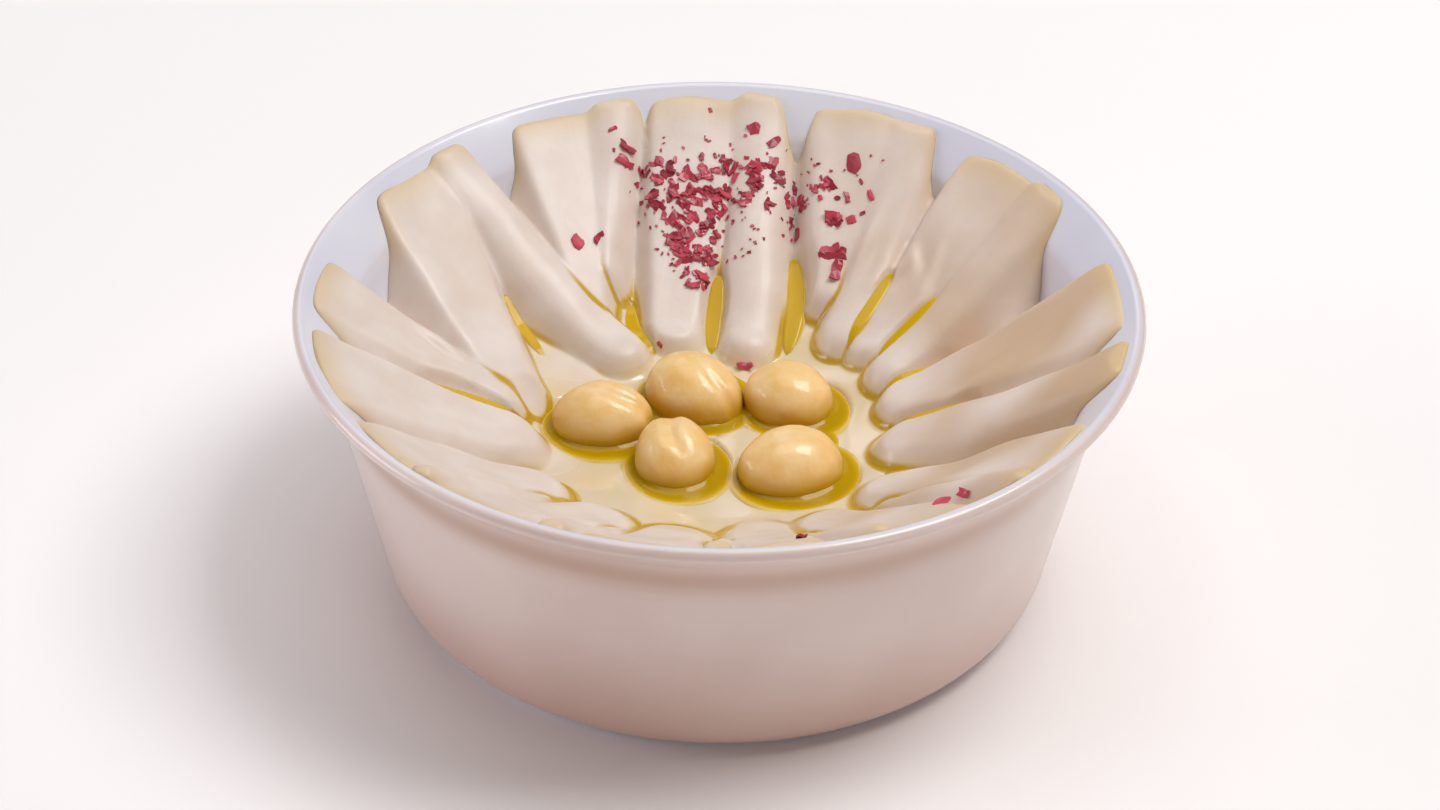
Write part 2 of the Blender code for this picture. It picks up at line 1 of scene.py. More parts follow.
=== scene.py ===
# %% [markdown]
# # A bowl of hummus
#
# Hummus is a thick chickpea paste. Here a spoon has dragged it from the middle to the rim,
# stroke after stroke, so it stands in the bowl like the petals of a flower. Five whole
# chickpeas sit in pools of olive oil, and crimson flakes are scattered over the back.
#
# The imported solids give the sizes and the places. This script models the fine surfaces
# over them and makes the finishes. Sizes are in millimetres and degrees until the last
# moment, when a mesh is scaled to metres.

# %% Load the frame
import math
import random

import bmesh
import bpy
import numpy as np
from mathutils import Matrix, Vector, noise
from mathutils.bvhtree import BVHTree


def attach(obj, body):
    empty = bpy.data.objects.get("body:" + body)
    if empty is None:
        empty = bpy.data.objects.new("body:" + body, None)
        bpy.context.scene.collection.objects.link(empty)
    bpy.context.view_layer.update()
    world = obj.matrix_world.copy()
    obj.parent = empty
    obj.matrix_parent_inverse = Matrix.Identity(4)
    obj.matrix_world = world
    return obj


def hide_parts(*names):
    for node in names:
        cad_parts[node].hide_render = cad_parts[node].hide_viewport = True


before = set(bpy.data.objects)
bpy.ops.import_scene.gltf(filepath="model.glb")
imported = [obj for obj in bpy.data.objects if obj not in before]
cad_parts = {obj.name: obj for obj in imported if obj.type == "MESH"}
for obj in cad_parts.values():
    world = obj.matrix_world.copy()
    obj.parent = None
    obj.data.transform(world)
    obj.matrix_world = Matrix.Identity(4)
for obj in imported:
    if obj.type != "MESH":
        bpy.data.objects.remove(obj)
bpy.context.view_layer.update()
bpy.context.scene.view_settings.view_transform = "Standard"
MM = 0.001

# %% [markdown]
# ## The camera
#
# A photograph fixes four things: how high the camera looks down from, how far away it
# stands, how long its lens is, and how it is rolled. The ellipse of the rim gives the
# height, because a circle seen from above squashes by the sine of that angle.

# %% Place the camera
CAMERA_RISE = 35.66
CAMERA_ROLL = 0.77
CAMERA_DISTANCE = 475.0
CAMERA_AIM = 21.25
LENS = 86.38
SHIFT = (0.00146, 0.01194)


def place_camera():
    """Look along +Y and down at the middle of the bowl."""
    rise, roll = math.radians(CAMERA_RISE), math.radians(CAMERA_ROLL)
    back = Vector((0, -math.cos(rise), math.sin(rise)))
    right = Vector((1, 0, 0))
    up = back.cross(right)
    turned_right = right * math.cos(roll) + up * math.sin(roll)
    turned_up = up * math.cos(roll) - right * math.sin(roll)
    lens = bpy.data.cameras.new("camera")
    lens.lens = LENS
    lens.shift_x, lens.shift_y = SHIFT
    made = bpy.data.objects.new("camera", lens)
    made.matrix_world = Matrix((turned_right, turned_up, back)).transposed().to_4x4()
    made.location = (Vector((0, 0, CAMERA_AIM)) + back * CAMERA_DISTANCE) * MM
    bpy.context.scene.collection.objects.link(made)
    bpy.context.scene.camera = made
    return made


camera = place_camera()
print("camera at", tuple(round(v, 3) for v in camera.location))

# %% [markdown]
# ## Writing shader maths as plain sums
#
# A material is a graph of nodes. Sums written as Python read better than a picture of
# wires, so one small class wraps a socket and turns + - * / into Math nodes. Every other
# node comes from one method, which takes its type, its settings and its sockets.

# %% A socket that can be added and multiplied
class Wire:
    """One output of a node, which takes part in sums."""

    def __init__(self, finish, socket):
        self.finish, self.socket = finish, socket

    def sum(self, operation, first, second):
        return self.finish.node("ShaderNodeMath", {"operation": operation}, {0: first, 1: second})

    def __add__(self, other):
        return self.sum("ADD", self, other)

    def __sub__(self, other):
        return self.sum("SUBTRACT", self, other)

    def __rsub__(self, other):
        return self.sum("SUBTRACT", other, self)

    def __mul__(self, other):
        return self.sum("MULTIPLY", self, other)

    def __truediv__(self, other):
        return self.sum("DIVIDE", self, other)

    def __pow__(self, other):
        return self.sum("POWER", self, other)

    __radd__ = __add__
    __rmul__ = __mul__

    def between(self, low, high):
        """Rise smoothly from 0 at low to 1 at high."""
        return self.finish.node(
            "ShaderNodeMapRange", {"interpolation_type": "SMOOTHSTEP"},
            {"Value": self, "From Min": low, "From Max": high},
        )


# %% A finish: one material and its graph
class Finish:
    """A material made of one Principled shader and the nodes that feed it."""

    def __init__(self, name, **constants):
        self.material = bpy.data.materials.new(name)
        self.material.use_nodes = True
        self.tree = self.material.node_tree
        self.shader = self.tree.nodes["Principled BSDF"]
        for socket, value in constants.items():
            self.set(socket.replace("_", " "), value)

    def node(self, kind, settings=None, values=None, output=0):
        """Add a node: its settings first, then a value or a link for each socket."""
        made = self.tree.nodes.new(kind)
        for name, value in (settings or {}).items():
            setattr(made, name, value)
        for key, value in (values or {}).items():
            self.join(value, made.inputs[key])
        return Wire(self, made.outputs[output])

    def join(self, value, socket):
        """Link a wire to a socket, or set the socket's own value."""
        if isinstance(value, Wire):
            self.tree.links.new(value.socket, socket)
        elif isinstance(value, tuple) and len(value) == 3 and socket.type == "RGBA":
            socket.default_value = (*value, 1.0)
        else:
            socket.default_value = value

    def set(self, socket, value):
        """Give one of the shader's sockets a value or a wire."""
        self.join(value, self.shader.inputs[socket])

    def attribute(self, name):
        """Read a number stored at each vertex of the mesh."""
        return self.node("ShaderNodeAttribute", {"attribute_name": name}, output="Fac")

    def place(self, vector=None, scale=(1.0, 1.0, 1.0)):
        """Give object coordinates in millimetres, stretched by a scale."""
        source = vector or self.node("ShaderNodeTexCoord", output="Object")
        factor = tuple(value / MM for value in scale)
        return self.node("ShaderNodeMapping", None, {"Vector": source, "Scale": factor})

    def noise(self, size, detail=2.0, vector=None, scale=(1.0, 1.0, 1.0)):
        """Cloudy noise with blobs of a size in millimetres, about 0.5 on average."""
        values = {"Vector": self.place(vector, scale), "Scale": 1.0 / size, "Detail": detail}
        return self.node("ShaderNodeTexNoise", None, values)

    def mix(self, share, first, second, blend="MIX"):
        """Blend two colours."""
        settings = {"data_type": "RGBA", "blend_type": blend, "clamp_factor": True}
        return self.node("ShaderNodeMix", settings, {0: share, 6: first, 7: second}, output=2)

    def bump(self, height, millimetres):
        """Raise the surface by a height, which runs from 0 to 1."""
        values = {"Height": height, "Strength": 1.0, "Distance": millimetres * MM}
        self.set("Normal", self.node("ShaderNodeBump", None, values))


def linear(level):
    """Turn one level read off a screen, 0 to 255, into its share of light: the sRGB curve."""
    share = level / 255
    return ((share + 0.055) / 1.055) ** 2.4 if share > 0.04045 else share / 12.92


def colour(red, green, blue):
    """Turn a colour read off a screen into the linear one that light needs."""
    return linear(red), linear(green), linear(blue)


# %% [markdown]
# ## Making pieces
#
# A piece is modelled with bmesh operators in millimetres. At the end it is scaled to
# metres, shaded smooth and given its body, its finish and the solids that it stands for.

# %% From a bmesh to a finished piece
SAME_PLACE = 0.001


def add_piece(name, bm, finish, stands_for=(), smooth=True):
    """Scale a mesh to metres and register it as a piece of the dish."""
    bmesh.ops.scale(bm, vec=(MM, MM, MM), verts=bm.verts)
    mesh = bpy.data.meshes.new(name)
    bm.to_mesh(mesh)
    bm.free()
    if smooth:
        mesh.shade_smooth()
    piece = bpy.data.objects.new(name, mesh)
    bpy.context.scene.collection.objects.link(piece)
    mesh.materials.append(finish.material)
    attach(piece, "root")
    if stands_for:
        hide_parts(*stands_for)
    print(name, "faces:", len(mesh.polygons))
    return piece


def store(piece, name, values):
    """Keep one number for each vertex, for the finish to read."""
    layer = piece.data.attributes.new(name, "FLOAT", "POINT")
    layer.data.foreach_set("value", np.asarray(values, dtype=np.float32))


def rolled_disc(places):
    """Roll a grid up into a disc: columns go round it, rows run from the middle out."""
    rings, steps = places.shape[0] - 1, places.shape[1]
    bm = bmesh.new()
    bmesh.ops.create_grid(bm, x_segments=steps, y_segments=rings, size=1.0)
    for knot in bm.verts:
        step = round((knot.co.x + 1.0) / 2.0 * steps) % steps
        ring = round((knot.co.y + 1.0) / 2.0 * rings)
        knot.co = places[ring, step]
    bmesh.ops.remove_doubles(bm, verts=bm.verts, dist=SAME_PLACE)
    bm.normal_update()
    bmesh.ops.recalc_face_normals(bm, faces=bm.faces)
    return bm


def turned(profile, steps):
    """Spin a profile of (radius, height) pairs round Z."""
    bm = bmesh.new()
    row = [bm.verts.new((r, 0.0, z)) for r, z in profile]
    edges = [bm.edges.new(pair) for pair in zip(row, row[1:])]
    bmesh.ops.spin(
        bm, geom=row + edges, cent=(0, 0, 0), axis=(0, 0, 1),
        angle=math.tau, steps=steps, use_merge=True,
    )
    bmesh.ops.remove_doubles(bm, verts=bm.verts, dist=SAME_PLACE)
    bm.normal_update()
    bmesh.ops.recalc_face_normals(bm, faces=bm.faces)
    return bm


# %% [markdown]
# ## The bowl
#
# The bowl is turned: a potter's wheel and a spun profile make the same shape. Its wall
# tapers a little, then flares at a neck into a thin rounded rim. A profile of straight
# runs and arcs, spun in many steps, keeps the rim round even where it is seen large.

# %% Sizes of the bowl
RIM_RADIUS = 57.0
BOWL_HEIGHT = 42.5
RIM_THICKNESS = 1.9
FLARE_ANGLE = 46.0
NECK_HEIGHT = 36.0
NECK_RADIUS = 52.7
NECK_BEND = 1.6
WALL_TAPER = 0.205
WALL_THICKNESS = 2.4
FLOOR_THICKNESS = 3.0
BASE_CORNER = 6.2
FLOOR_CORNER = 5.0
FLARE_REACH = 0.72
NECK_CORNER_DROP = 0.7
BELOW_NECK = 3.0
BOWL_STEPS = 256
LIP_STEPS = 16
NECK_STEPS = 6
BEND_STEPS = 10
BASE_STEPS = 14
# The straight outer wall has points at these heights, to carry its shading.
WALL_LEVELS = (31.5, 30.0, 28.0, 25.0, 21.0, 16.0, 11.0)


def polar(radius, azimuth):
    """Give the plan position at a radius and an azimuth in degrees."""
    angle = np.radians(azimuth)
    return radius * np.cos(angle), radius * np.sin(angle)


def arc(centre, radius, start, end, steps):
    """List the points of an arc, both ends included."""
    angles = [math.radians(start + (end - start) * k / steps) for k in range(steps + 1)]
    return [(centre[0] + radius * math.cos(a), centre[1] + radius * math.sin(a)) for a in angles]


def curve(first, corner, last, steps):
    """List the points of a soft bend from first to last, pulled towards a corner."""
    points = []
    for k in range(steps + 1):
        t = k / steps
        weights = ((1 - t) ** 2, 2 * t * (1 - t), t * t)
        pairs = list(zip(weights, (first, corner, last)))
        points.append(tuple(sum(w * p[axis] for w, p in pairs) for axis in (0, 1)))
    return points


def outer_wall(height):
    """Radius of the outer wall at a height below the neck."""
    return NECK_RADIUS - (NECK_HEIGHT - height) * WALL_TAPER


def lip_arc(steps):
    """The rounded edge of the rim, from the inside flare to its underside."""
    roll = RIM_THICKNESS / 2
    return arc((RIM_RADIUS - roll, BOWL_HEIGHT - roll), roll, FLARE_ANGLE + 90, FLARE_ANGLE - 90, steps)


def inner_radius(height):
    """Radius of the bowl's inside at a height above the floor's corner."""
    lip_radius, lip_height = lip_arc(1)[0]
    neck_radius = NECK_RADIUS - WALL_THICKNESS
    rise = (height - NECK_HEIGHT) / (lip_height - NECK_HEIGHT)
    flare = neck_radius + (lip_radius - neck_radius) * rise
    return np.where(height > NECK_HEIGHT, flare, outer_wall(height) - WALL_THICKNESS)


# %% The bowl's half section
def bowl_profile():
    """Run up the inside, over the rim and down the outer side."""
    tilt = math.degrees(math.atan(WALL_TAPER))
    stretch = math.hypot(1.0, WALL_TAPER)
    floor_level = FLOOR_THICKNESS + FLOOR_CORNER
    floor_centre = (float(inner_radius(floor_level)) - FLOOR_CORNER * stretch, floor_level)
    base_centre = (outer_wall(BASE_CORNER) - BASE_CORNER * stretch, BASE_CORNER)
    lip = lip_arc(LIP_STEPS)
    bend = (NECK_HEIGHT - NECK_BEND, NECK_HEIGHT, NECK_HEIGHT + NECK_BEND)
    inside = [(float(inner_radius(z)), z) for z in bend]
    reach = (lip[-1][0] - NECK_RADIUS) * FLARE_REACH
    under = (lip[-1][0] - reach, lip[-1][1] - reach * math.tan(math.radians(FLARE_ANGLE)))
    neck = (NECK_RADIUS, NECK_HEIGHT - NECK_CORNER_DROP)
    below = (outer_wall(NECK_HEIGHT - BELOW_NECK), NECK_HEIGHT - BELOW_NECK)
    profile = [(0.0, FLOOR_THICKNESS)]
    profile += arc(floor_centre, FLOOR_CORNER, -90, -tilt, BEND_STEPS)
    profile += curve(*inside, NECK_STEPS)
    profile += lip
    profile += curve(under, neck, below, BEND_STEPS)
    profile += [(outer_wall(z), z) for z in WALL_LEVELS]
    profile += arc(base_centre, BASE_CORNER, -tilt, -90, BASE_STEPS)
    profile += [(0.0, 0.0)]
    return profile


# %% [markdown]
# ## White glaze
#
# Glaze is glass fired onto clay: white below, clear and glossy on top. Its colour
# drifts very little. The inside is given a cool tint as painted light from above, and the
# outside a warm tint as a painted reflection of the table. Under the rim a brown band is
# painted shadow, and towards the base the warmth grows as a painted reflection. A coat
# carries the gloss.

# %% Finish of the bowl
glaze = Finish(
    "white_glaze", Metallic=0.0, Coat_Weight=0.5, Coat_Roughness=0.12, Subsurface_Weight=0.05,
    Subsurface_Radius=(0.8, 0.7, 0.6), Subsurface_Scale=0.002,
)
glaze_drift = glaze.noise(24.0).between(0.3, 0.7)
# Painted light: the inside is tinted cool like light from above, the outside warm like a reflection of the
# table.
inner_glaze_painted_light = glaze.mix(glaze_drift, colour(222, 223, 238), colour(230, 231, 242))
outer_glaze_painted_light = glaze.mix(glaze_drift, colour(219, 198, 190), colour(227, 209, 202))
# Painted reflection: the outside turns warmer towards the base, as if the table's colour were reflected
# there.
outer_glaze_painted_light = glaze.mix(glaze.attribute("painted_base_reflection") * 0.6, outer_glaze_painted_light, colour(200, 150, 128))
# Painted shadow: a brown band under the flared rim.
outer_glaze_painted_light = glaze.mix(glaze.attribute("neck") * 0.75, outer_glaze_painted_light, colour(188, 150, 126))
glaze.set("Base Color", glaze.mix(glaze.attribute("outside"), inner_glaze_painted_light, outer_glaze_painted_light))
glaze.set("Roughness", 0.26 + 0.1 * glaze.noise(9.0))

# %% Make the bowl
# Height and spread of the painted shadow under the rim, and the height where the painted reflection near
# the base fades out.
PAINTED_SHADOW_HEIGHT = 34.8
PAINTED_SHADOW_SPREAD = 2.6
PAINTED_REFLECTION_TOP = 20.0
bowl = add_piece("bowl_glazed", turned(bowl_profile(), BOWL_STEPS), glaze, ["bowl"])
bowl_knots = np.array([tuple(v.co) for v in bowl.data.vertices]) / MM
beyond = np.hypot(bowl_knots[:, 0], bowl_knots[:, 1]) - inner_radius(bowl_knots[:, 2])
store(bowl, "outside", np.clip(beyond / (WALL_THICKNESS / 2), 0.0, 1.0))
# Painted shadow under the rim, stored for the glaze.
store(bowl, "neck", np.exp(-((bowl_knots[:, 2] - PAINTED_SHADOW_HEIGHT) / PAINTED_SHADOW_SPREAD) ** 2))
# Painted reflection near the base, stored for the glaze.
store(bowl, "painted_base_reflection", np.clip(1.0 - bowl_knots[:, 2] / PAINTED_REFLECTION_TOP, 0.0, 1.0))

# %% [markdown]
# ## How the spoon shaped the hummus
#
# Each stroke of the spoon leaves a tongue that climbs to the rim. From above, a tongue
# is a long capsule: wide at the wall and narrow at its tip in the middle. A face is
# broad and slightly dished. A fold is the rounded ridge that the spoon pushed up beside
# it. The height of the hummus is the highest of all the tongues and of the floor below.
# A soft maximum rounds the places where they meet.

# %% Levels of the hummus
MIDDLE_LEVEL = 19.0
MIDDLE_RADIUS = 18.0
CREASE_LEVEL = 29.5
CREASE_RADIUS = 50.0
CREASE_CURVE = 1.45
TIP_LEVEL = 22.2
TIP_RADIUS = 22.0
TOP_LEVEL = 41.4
TOP_RADIUS = 54.0
HIGHEST_LEVEL = 41.8
STROKE_CURVE = 1.25
SHOULDER_ROUND = 0.8
WALL_SHOULDER = 0.9
WALL_SHARPNESS = 4.0
BLEND = 0.35
TIP_SLOPE = 1.9
TIP_LIFT = 0.35
FRONT_EASE = 1.2
FRONT_DROP = 1.5
RIPPLE_HEIGHT = 0.2
RIPPLES = ((0.21, 0.17, 1.3), (0.11, -0.16, 0.0), (-0.19, 0.23, 2.0))

# %% The strokes
# Each section: lift of its middle, rise of its edges over that, slopes of its left and right side.
FACE = (0.0, 0.6, 2.2, 2.6)
SLOPING_FACE = (0.0, 0.6, 1.2, 1.4)
FOLD = (1.2, -1.8, 2.6, 3.2)
# Each stroke: section, azimuth and half width at the wall, azimuth, radius and half width at the tip.
STROKES = (
    (FACE, 144.8, 7.4, 169, 25.5, 3.6),
    (FOLD, 136.6, 4.4, 129, 18.8, 3.4),
    (FACE, 116.6, 7.4, 128, 27.5, 1.6),
    (FOLD, 107.2, 4.7, 118.5, 32.5, 1.2),
    (FACE, 94.0, 6.9, 106, 20.3, 3.2),
    (FOLD, 84.2, 4.7, 79, 18.3, 3.3),
    (FACE, 68.4, 7.0, 61, 30.0, 1.8),
    (FOLD, 58.9, 4.3, 49, 24.0, 3.1),
    (FACE, 42.0, 7.0, 39.5, 25.0, 2.5),
    (FOLD, 31.6, 4.5, 25, 23.5, 2.8),
    (SLOPING_FACE, 4, 7.6, 10, 23.2, 3.2),
    (FOLD, 347, 5.2, 350, 22.2, 3.8),
    (FACE, 325, 6.0, 325, 25.0, 3.3),
    (FOLD, 315, 3.0, 314, 31.0, 1.6),
    (FACE, 301, 5.4, 301, 24.6, 3.1),
    (FOLD, 292, 2.8, 291, 31.0, 1.5),
    (FACE, 279, 5.4, 283, 22.3, 3.5),
    (FOLD, 270, 2.8, 272, 31.0, 1.4),
    (FACE, 257, 5.4, 258.5, 24.0, 3.3),
    (FOLD, 248, 2.8, 247.5, 31.0, 1.4),
    (FACE, 235.5, 5.2, 237.5, 25.5, 3.4),
    (FOLD, 227, 2.6, 227.5, 32.0, 1.4),
    (FACE, 216.5, 7.0, 217, 27.0, 3.4),
    (FACE, 196.5, 8.6, 192, 25.0, 3.8),
    (SLOPING_FACE, 176, 6.0, 177, 27.5, 2.2),
)


# %% Height of one stroke
def crest(radius):
    """Height of a stroke's back along the bowl's radius."""
    rise = np.clip((radius - TIP_RADIUS) / (TOP_RADIUS - TIP_RADIUS), 0.0, 1.0)
    return TIP_LEVEL + (TOP_LEVEL - TIP_LEVEL) * rise ** STROKE_CURVE


def crease_floor(x, y):
    """Height of the paste under the strokes, nearly level in the middle."""
    rise = np.maximum(np.hypot(x, y) - MIDDLE_RADIUS, 0.0) / (CREASE_RADIUS - MIDDLE_RADIUS)
    return MIDDLE_LEVEL + (CREASE_LEVEL - MIDDLE_LEVEL) * rise ** CREASE_CURVE


def stroke_frame(x, y, stroke):
    """Say how far along a stroke a place is, how far off its middle, and on which side."""
    _, wall_azimuth, wall_width, tip_azimuth, tip_radius, tip_width = stroke
    tip_x, tip_y = polar(tip_radius + tip_width, tip_azimuth)
    wall_x, wall_y = polar(TOP_RADIUS, wall_azimuth)
    run_x, run_y = wall_x - tip_x, wall_y - tip_y
    length = math.hypot(run_x, run_y)
    along = np.clip(((x - tip_x) * run_x + (y - tip_y) * run_y) / length ** 2, 0.0, 1.0)
    off_x, off_y = x - tip_x - run_x * along, y - tip_y - run_y * along
    distance = np.hypot(off_x, off_y) + 1e-6
    leftness = (run_x * off_y - run_y * off_x) / length / distance
    width = tip_width + (wall_width - tip_width) * along
    return along, distance, leftness, width


def stroke_height(x, y, stroke):
    """Height of one stroke, which falls away outside its rounded outline."""
    lift, dish, left_slope, right_slope = stroke[0]
    along, distance, leftness, width = stroke_frame(x, y, stroke)
    wall_slope = (left_slope + right_slope) / 2 + leftness * (left_slope - right_slope) / 2
    front = max(0.0, -math.sin(math.radians(stroke[3])))
    tip_slope = TIP_SLOPE - FRONT_EASE * front
    slope = tip_slope + (wall_slope - tip_slope) * along
    outside = distance - width
    near_wall = along ** WALL_SHARPNESS
    shoulder = SHOULDER_ROUND + (WALL_SHOULDER - SHOULDER_ROUND) * near_wall
    fall = slope * (outside + np.hypot(outside, shoulder)) / 2
    across = np.clip(distance / width, 0.0, 1.0)
    hollow = max(dish, 0.0) * (1.0 - near_wall) + min(dish, 0.0)
    crown = (lift + hollow * across ** 2) * (TIP_LIFT + (1.0 - TIP_LIFT) * along)
    return crest(np.hypot(x, y)) + crown - fall - FRONT_DROP * front * (1.0 - along) ** 2


# %% Height of the whole surface
def height_layers(x, y):
    """Height of the floor and of every stroke at each place."""
    return np.stack([crease_floor(x, y)] + [stroke_height(x, y, stroke) for stroke in STROKES])


def blended(layers, blend=BLEND):
    """Join layers at their highest, softly."""
    highest = layers.max(axis=0)
    return highest + blend * np.log(np.exp((layers - highest) / blend).sum(axis=0))


def ripple(x, y, waves):
    """Add up waves, each with its pace across, pace back and start."""
    return sum(np.sin(x * across + y * back + start) for across, back, start in waves)


def strokes_height(x, y):
    """Height of the hummus: the highest of its strokes and floor, softly blended."""
    height = blended(height_layers(x, y)) + RIPPLE_HEIGHT * ripple(x, y, RIPPLES)
    return np.minimum(height, HIGHEST_LEVEL)


# %% [markdown]
# ## Chickpeas and the dimples round them
#
# Each chickpea was pressed into the middle, and oil filled the dimple that it made. The
# dimples are half balls a little wider than the peas. Where two meet, the oil joins.

# %% Places of the chickpeas
# Further than anything in the dish.
FAR = 1e9
PEA_LEVEL = 19.9
OIL_LEVEL = 18.9
POOL_MARGIN = 1.7
BANK_SLOPE = 1.6
PRESS_BLEND = 0.25
POOL_SHIFT = (0.5, -0.6)
# Each pea: x, y, half length, half width, half height, azimuth and tilt of its beak.
PEAS = (
    (-16.3, 2.0, 6.7, 5.6, 5.4, -8, 10),
    (-3.6, 8.5, 6.9, 6.1, 5.8, -35, -8),
    (10.0, 7.2, 6.1, 5.7, 5.5, 160, 6),
    (-5.8, -7.2, 5.9, 5.5, 5.3, 100, 28),
    (10.2, -8.4, 7.0, 6.0, 5.7, 200, 5),
)
BRIDGE = (13.2, -0.8, 3.2, 3.2, 2.4)


def dimples():
    """List each dimple: centre, half sizes, depth and turn."""
    for x, y, length, width, height, azimuth, _ in PEAS:
        depth = height - (PEA_LEVEL - OIL_LEVEL)
        centre = (x + POOL_SHIFT[0], y + POOL_SHIFT[1])
        yield *centre, length + POOL_MARGIN, width + POOL_MARGIN, depth, azimuth
    yield *BRIDGE, 0.0


def dimple_reach(x, y, dimple):
    """Distance from a dimple's middle, as a share of the way to its edge."""
    cx, cy, length, width, _, azimuth = dimple
    turn = math.radians(azimuth)
    along = (x - cx) * math.cos(turn) + (y - cy) * math.sin(turn)
    across = (y - cy) * math.cos(turn) - (x - cx) * math.sin(turn)
    return np.hypot(along / length, across / width)


def dimple_floor(x, y):
    """Bottom of the oil pool, and the banks that rise from it all round."""
    floor = np.full_like(x, FAR)
    for dimple in dimples():
        reach = dimple_reach(x, y, dimple)
        bottom = OIL_LEVEL - dimple[4] * np.sqrt(np.clip(1.0 - reach ** 2, 0.0, 1.0))
        bank = OIL_LEVEL + (reach - 1.0) * (dimple[2] + dimple[3]) / 2 * BANK_SLOPE
        floor = np.minimum(floor, np.where(reach < 1.0, bottom, bank))
    return floor


# %% [markdown]
# ## Oil in the creases
#
# Oil runs down between the strokes and lies in the creases as narrow streaks. Each
# streak follows the lowest line near it. It has pushed the paste apart into a small
# trough, so it is wider than the crease alone would be.

# %% Paths of the oil streaks
CREASE_SEARCH = 2.0
SEARCH_TRIES = 81
STREAK_POINTS = 25
STREAK_TAPER = 2.4
THINNEST = 0.1
FILL = 0.6
TROUGH_SLOPE = 2.5
END_SINK = 0.3
# Each streak: radius and azimuth at the start and at the end, width and depth.
STREAKS = (
    (20.0, 92.5, 32.0, 90, 2.7, 1.0),
    (22.0, 64, 37.5, 73.5, 3.0, 1.0),
    (29.5, 148, 38.5, 143, 1.7, 0.7),
    (20.5, 118, 31.0, 115, 2.0, 0.8),
    (28.0, 182, 41.0, 184, 2.4, 0.7),
    (25.0, 44, 37.5, 48, 2.0, 0.8),
    (24.0, 18, 36.5, 20, 1.8, 0.7),
    (23.5, 360, 36.0, 357, 1.8, 0.7),
    (24.5, 337, 34.0, 338, 1.7, 0.7),
    (27.0, 313, 34.0, 311, 2.0, 0.7),
    (26.0, 204, 36.0, 206, 1.8, 0.7),
    (27.0, 270, 33.0, 268, 1.8, 0.7),
    (26.5, 32, 37.0, 34, 1.8, 0.7),
)


def lowest_azimuth(radius, azimuth):
    """Azimuth of the lowest place near a given one, at a radius."""
    tries = azimuth + np.linspace(-CREASE_SEARCH, CREASE_SEARCH, SEARCH_TRIES)
    heights = strokes_height(*polar(np.full_like(tries, radius), tries))
    return float(tries[int(np.argmin(heights))])


def smoothed(values, rounds=4):
    """Even out a row of numbers, with its ends held."""
    for _ in range(rounds):
        values[1:-1] = values[:-2] * 0.25 + values[1:-1] * 0.5 + values[2:] * 0.25
    return values


def streak_path(streak):
    """Points of a bend along the crease, through three of its places, with the oil's level at each."""
    start, end, depth = np.array(streak[:2]), np.array(streak[2:4]), streak[5]
    shares = np.linspace(0.0, 1.0, STREAK_POINTS)
    radii = start[0] + (end[0] - start[0]) * shares
    stops = (0.0, 0.5, 1.0)
    found = [lowest_azimuth(*(start * (1 - stop) + end * stop)) for stop in stops]
    azimuths = np.polyval(np.polyfit(stops, found, 2), shares)
    x, y = polar(radii, azimuths)
    taper = np.sqrt(1.0 - np.abs(2.0 * shares - 1.0) ** STREAK_TAPER)
    level = smoothed(strokes_height(x, y)) - END_SINK + (depth * FILL + END_SINK) * taper
    return x, y, level


PATHS = [streak_path(streak) for streak in STREAKS]


# %% Where a place lies on a streak
def streak_half_widths(width):
    """Half width of a streak at each of its points, drawn out thin at both ends."""
    shares = np.linspace(-1.0, 1.0, STREAK_POINTS)
    return width / 2 * np.maximum(np.sqrt(1.0 - np.abs(shares) ** STREAK_TAPER), THINNEST)


def streak_reach(x, y, path, width):
    """Distance off a streak's middle line as a share of its half width, and its level there."""
    px, py, level = path
    best, nearest = np.full(x.shape, FAR), np.zeros(x.shape, int)
    for k, half in enumerate(streak_half_widths(width)):
        share = np.hypot(x - px[k], y - py[k]) / half
        closer = share < best
        best, nearest = np.where(closer, share, best), np.where(closer, k, nearest)
    return best, level[nearest]


# %% [markdown]
# ## Marks of the spoon
#
# No stroke of a spoon is perfect. It lifts small lips of paste, leaves a scoop where it
# turned back, and drags faint waves. A lip is a ridge with a dip beside it. The large
# ones stand where the strokes meet, and small ones are drawn by a seeded rule.

# %% Relief on top of the strokes
# Each lip: x, y, half length, half width, azimuth, height.
LIPS = (
    (-42.0, 9.0, 5.0, 1.3, 350, 1.3),
    (-38.0, 4.2, 4.0, 1.0, 338, 0.9),
    (-33.0, -10.5, 5.0, 1.6, 22, 0.9),
    (21.5, 31.0, 4.5, 1.4, 62, 1.5),
    (24.5, 26.0, 3.2, 1.2, 25, 1.3),
    (28.2, 27.4, 3.6, 1.3, 96, 1.1),
    (30.5, 24.5, 4.0, 1.3, 66, 1.1),
    (33.0, 2.5, 5.0, 1.5, 20, 0.9),
)
SMALL_LIPS = 46
SMALL_LIP_SEED = 5
SMALL_LIP_RADII = (26, 51)
SMALL_LIP_LENGTHS = (1.5, 4.0)
SMALL_LIP_WIDTHS = (0.5, 1.1)
SMALL_LIP_TURN = 25
SMALL_LIP_HEIGHT = 0.24
FAINT_WAVES = ((0.52, 0.31, 0.4), (-0.37, 0.55, 1.9), (0.24, -0.63, 4.0), (0.71, 0.05, 2.6))
FAINT_HEIGHT = 0.08
MARKS_START = 20.0
MARKS_FADE = 8.0


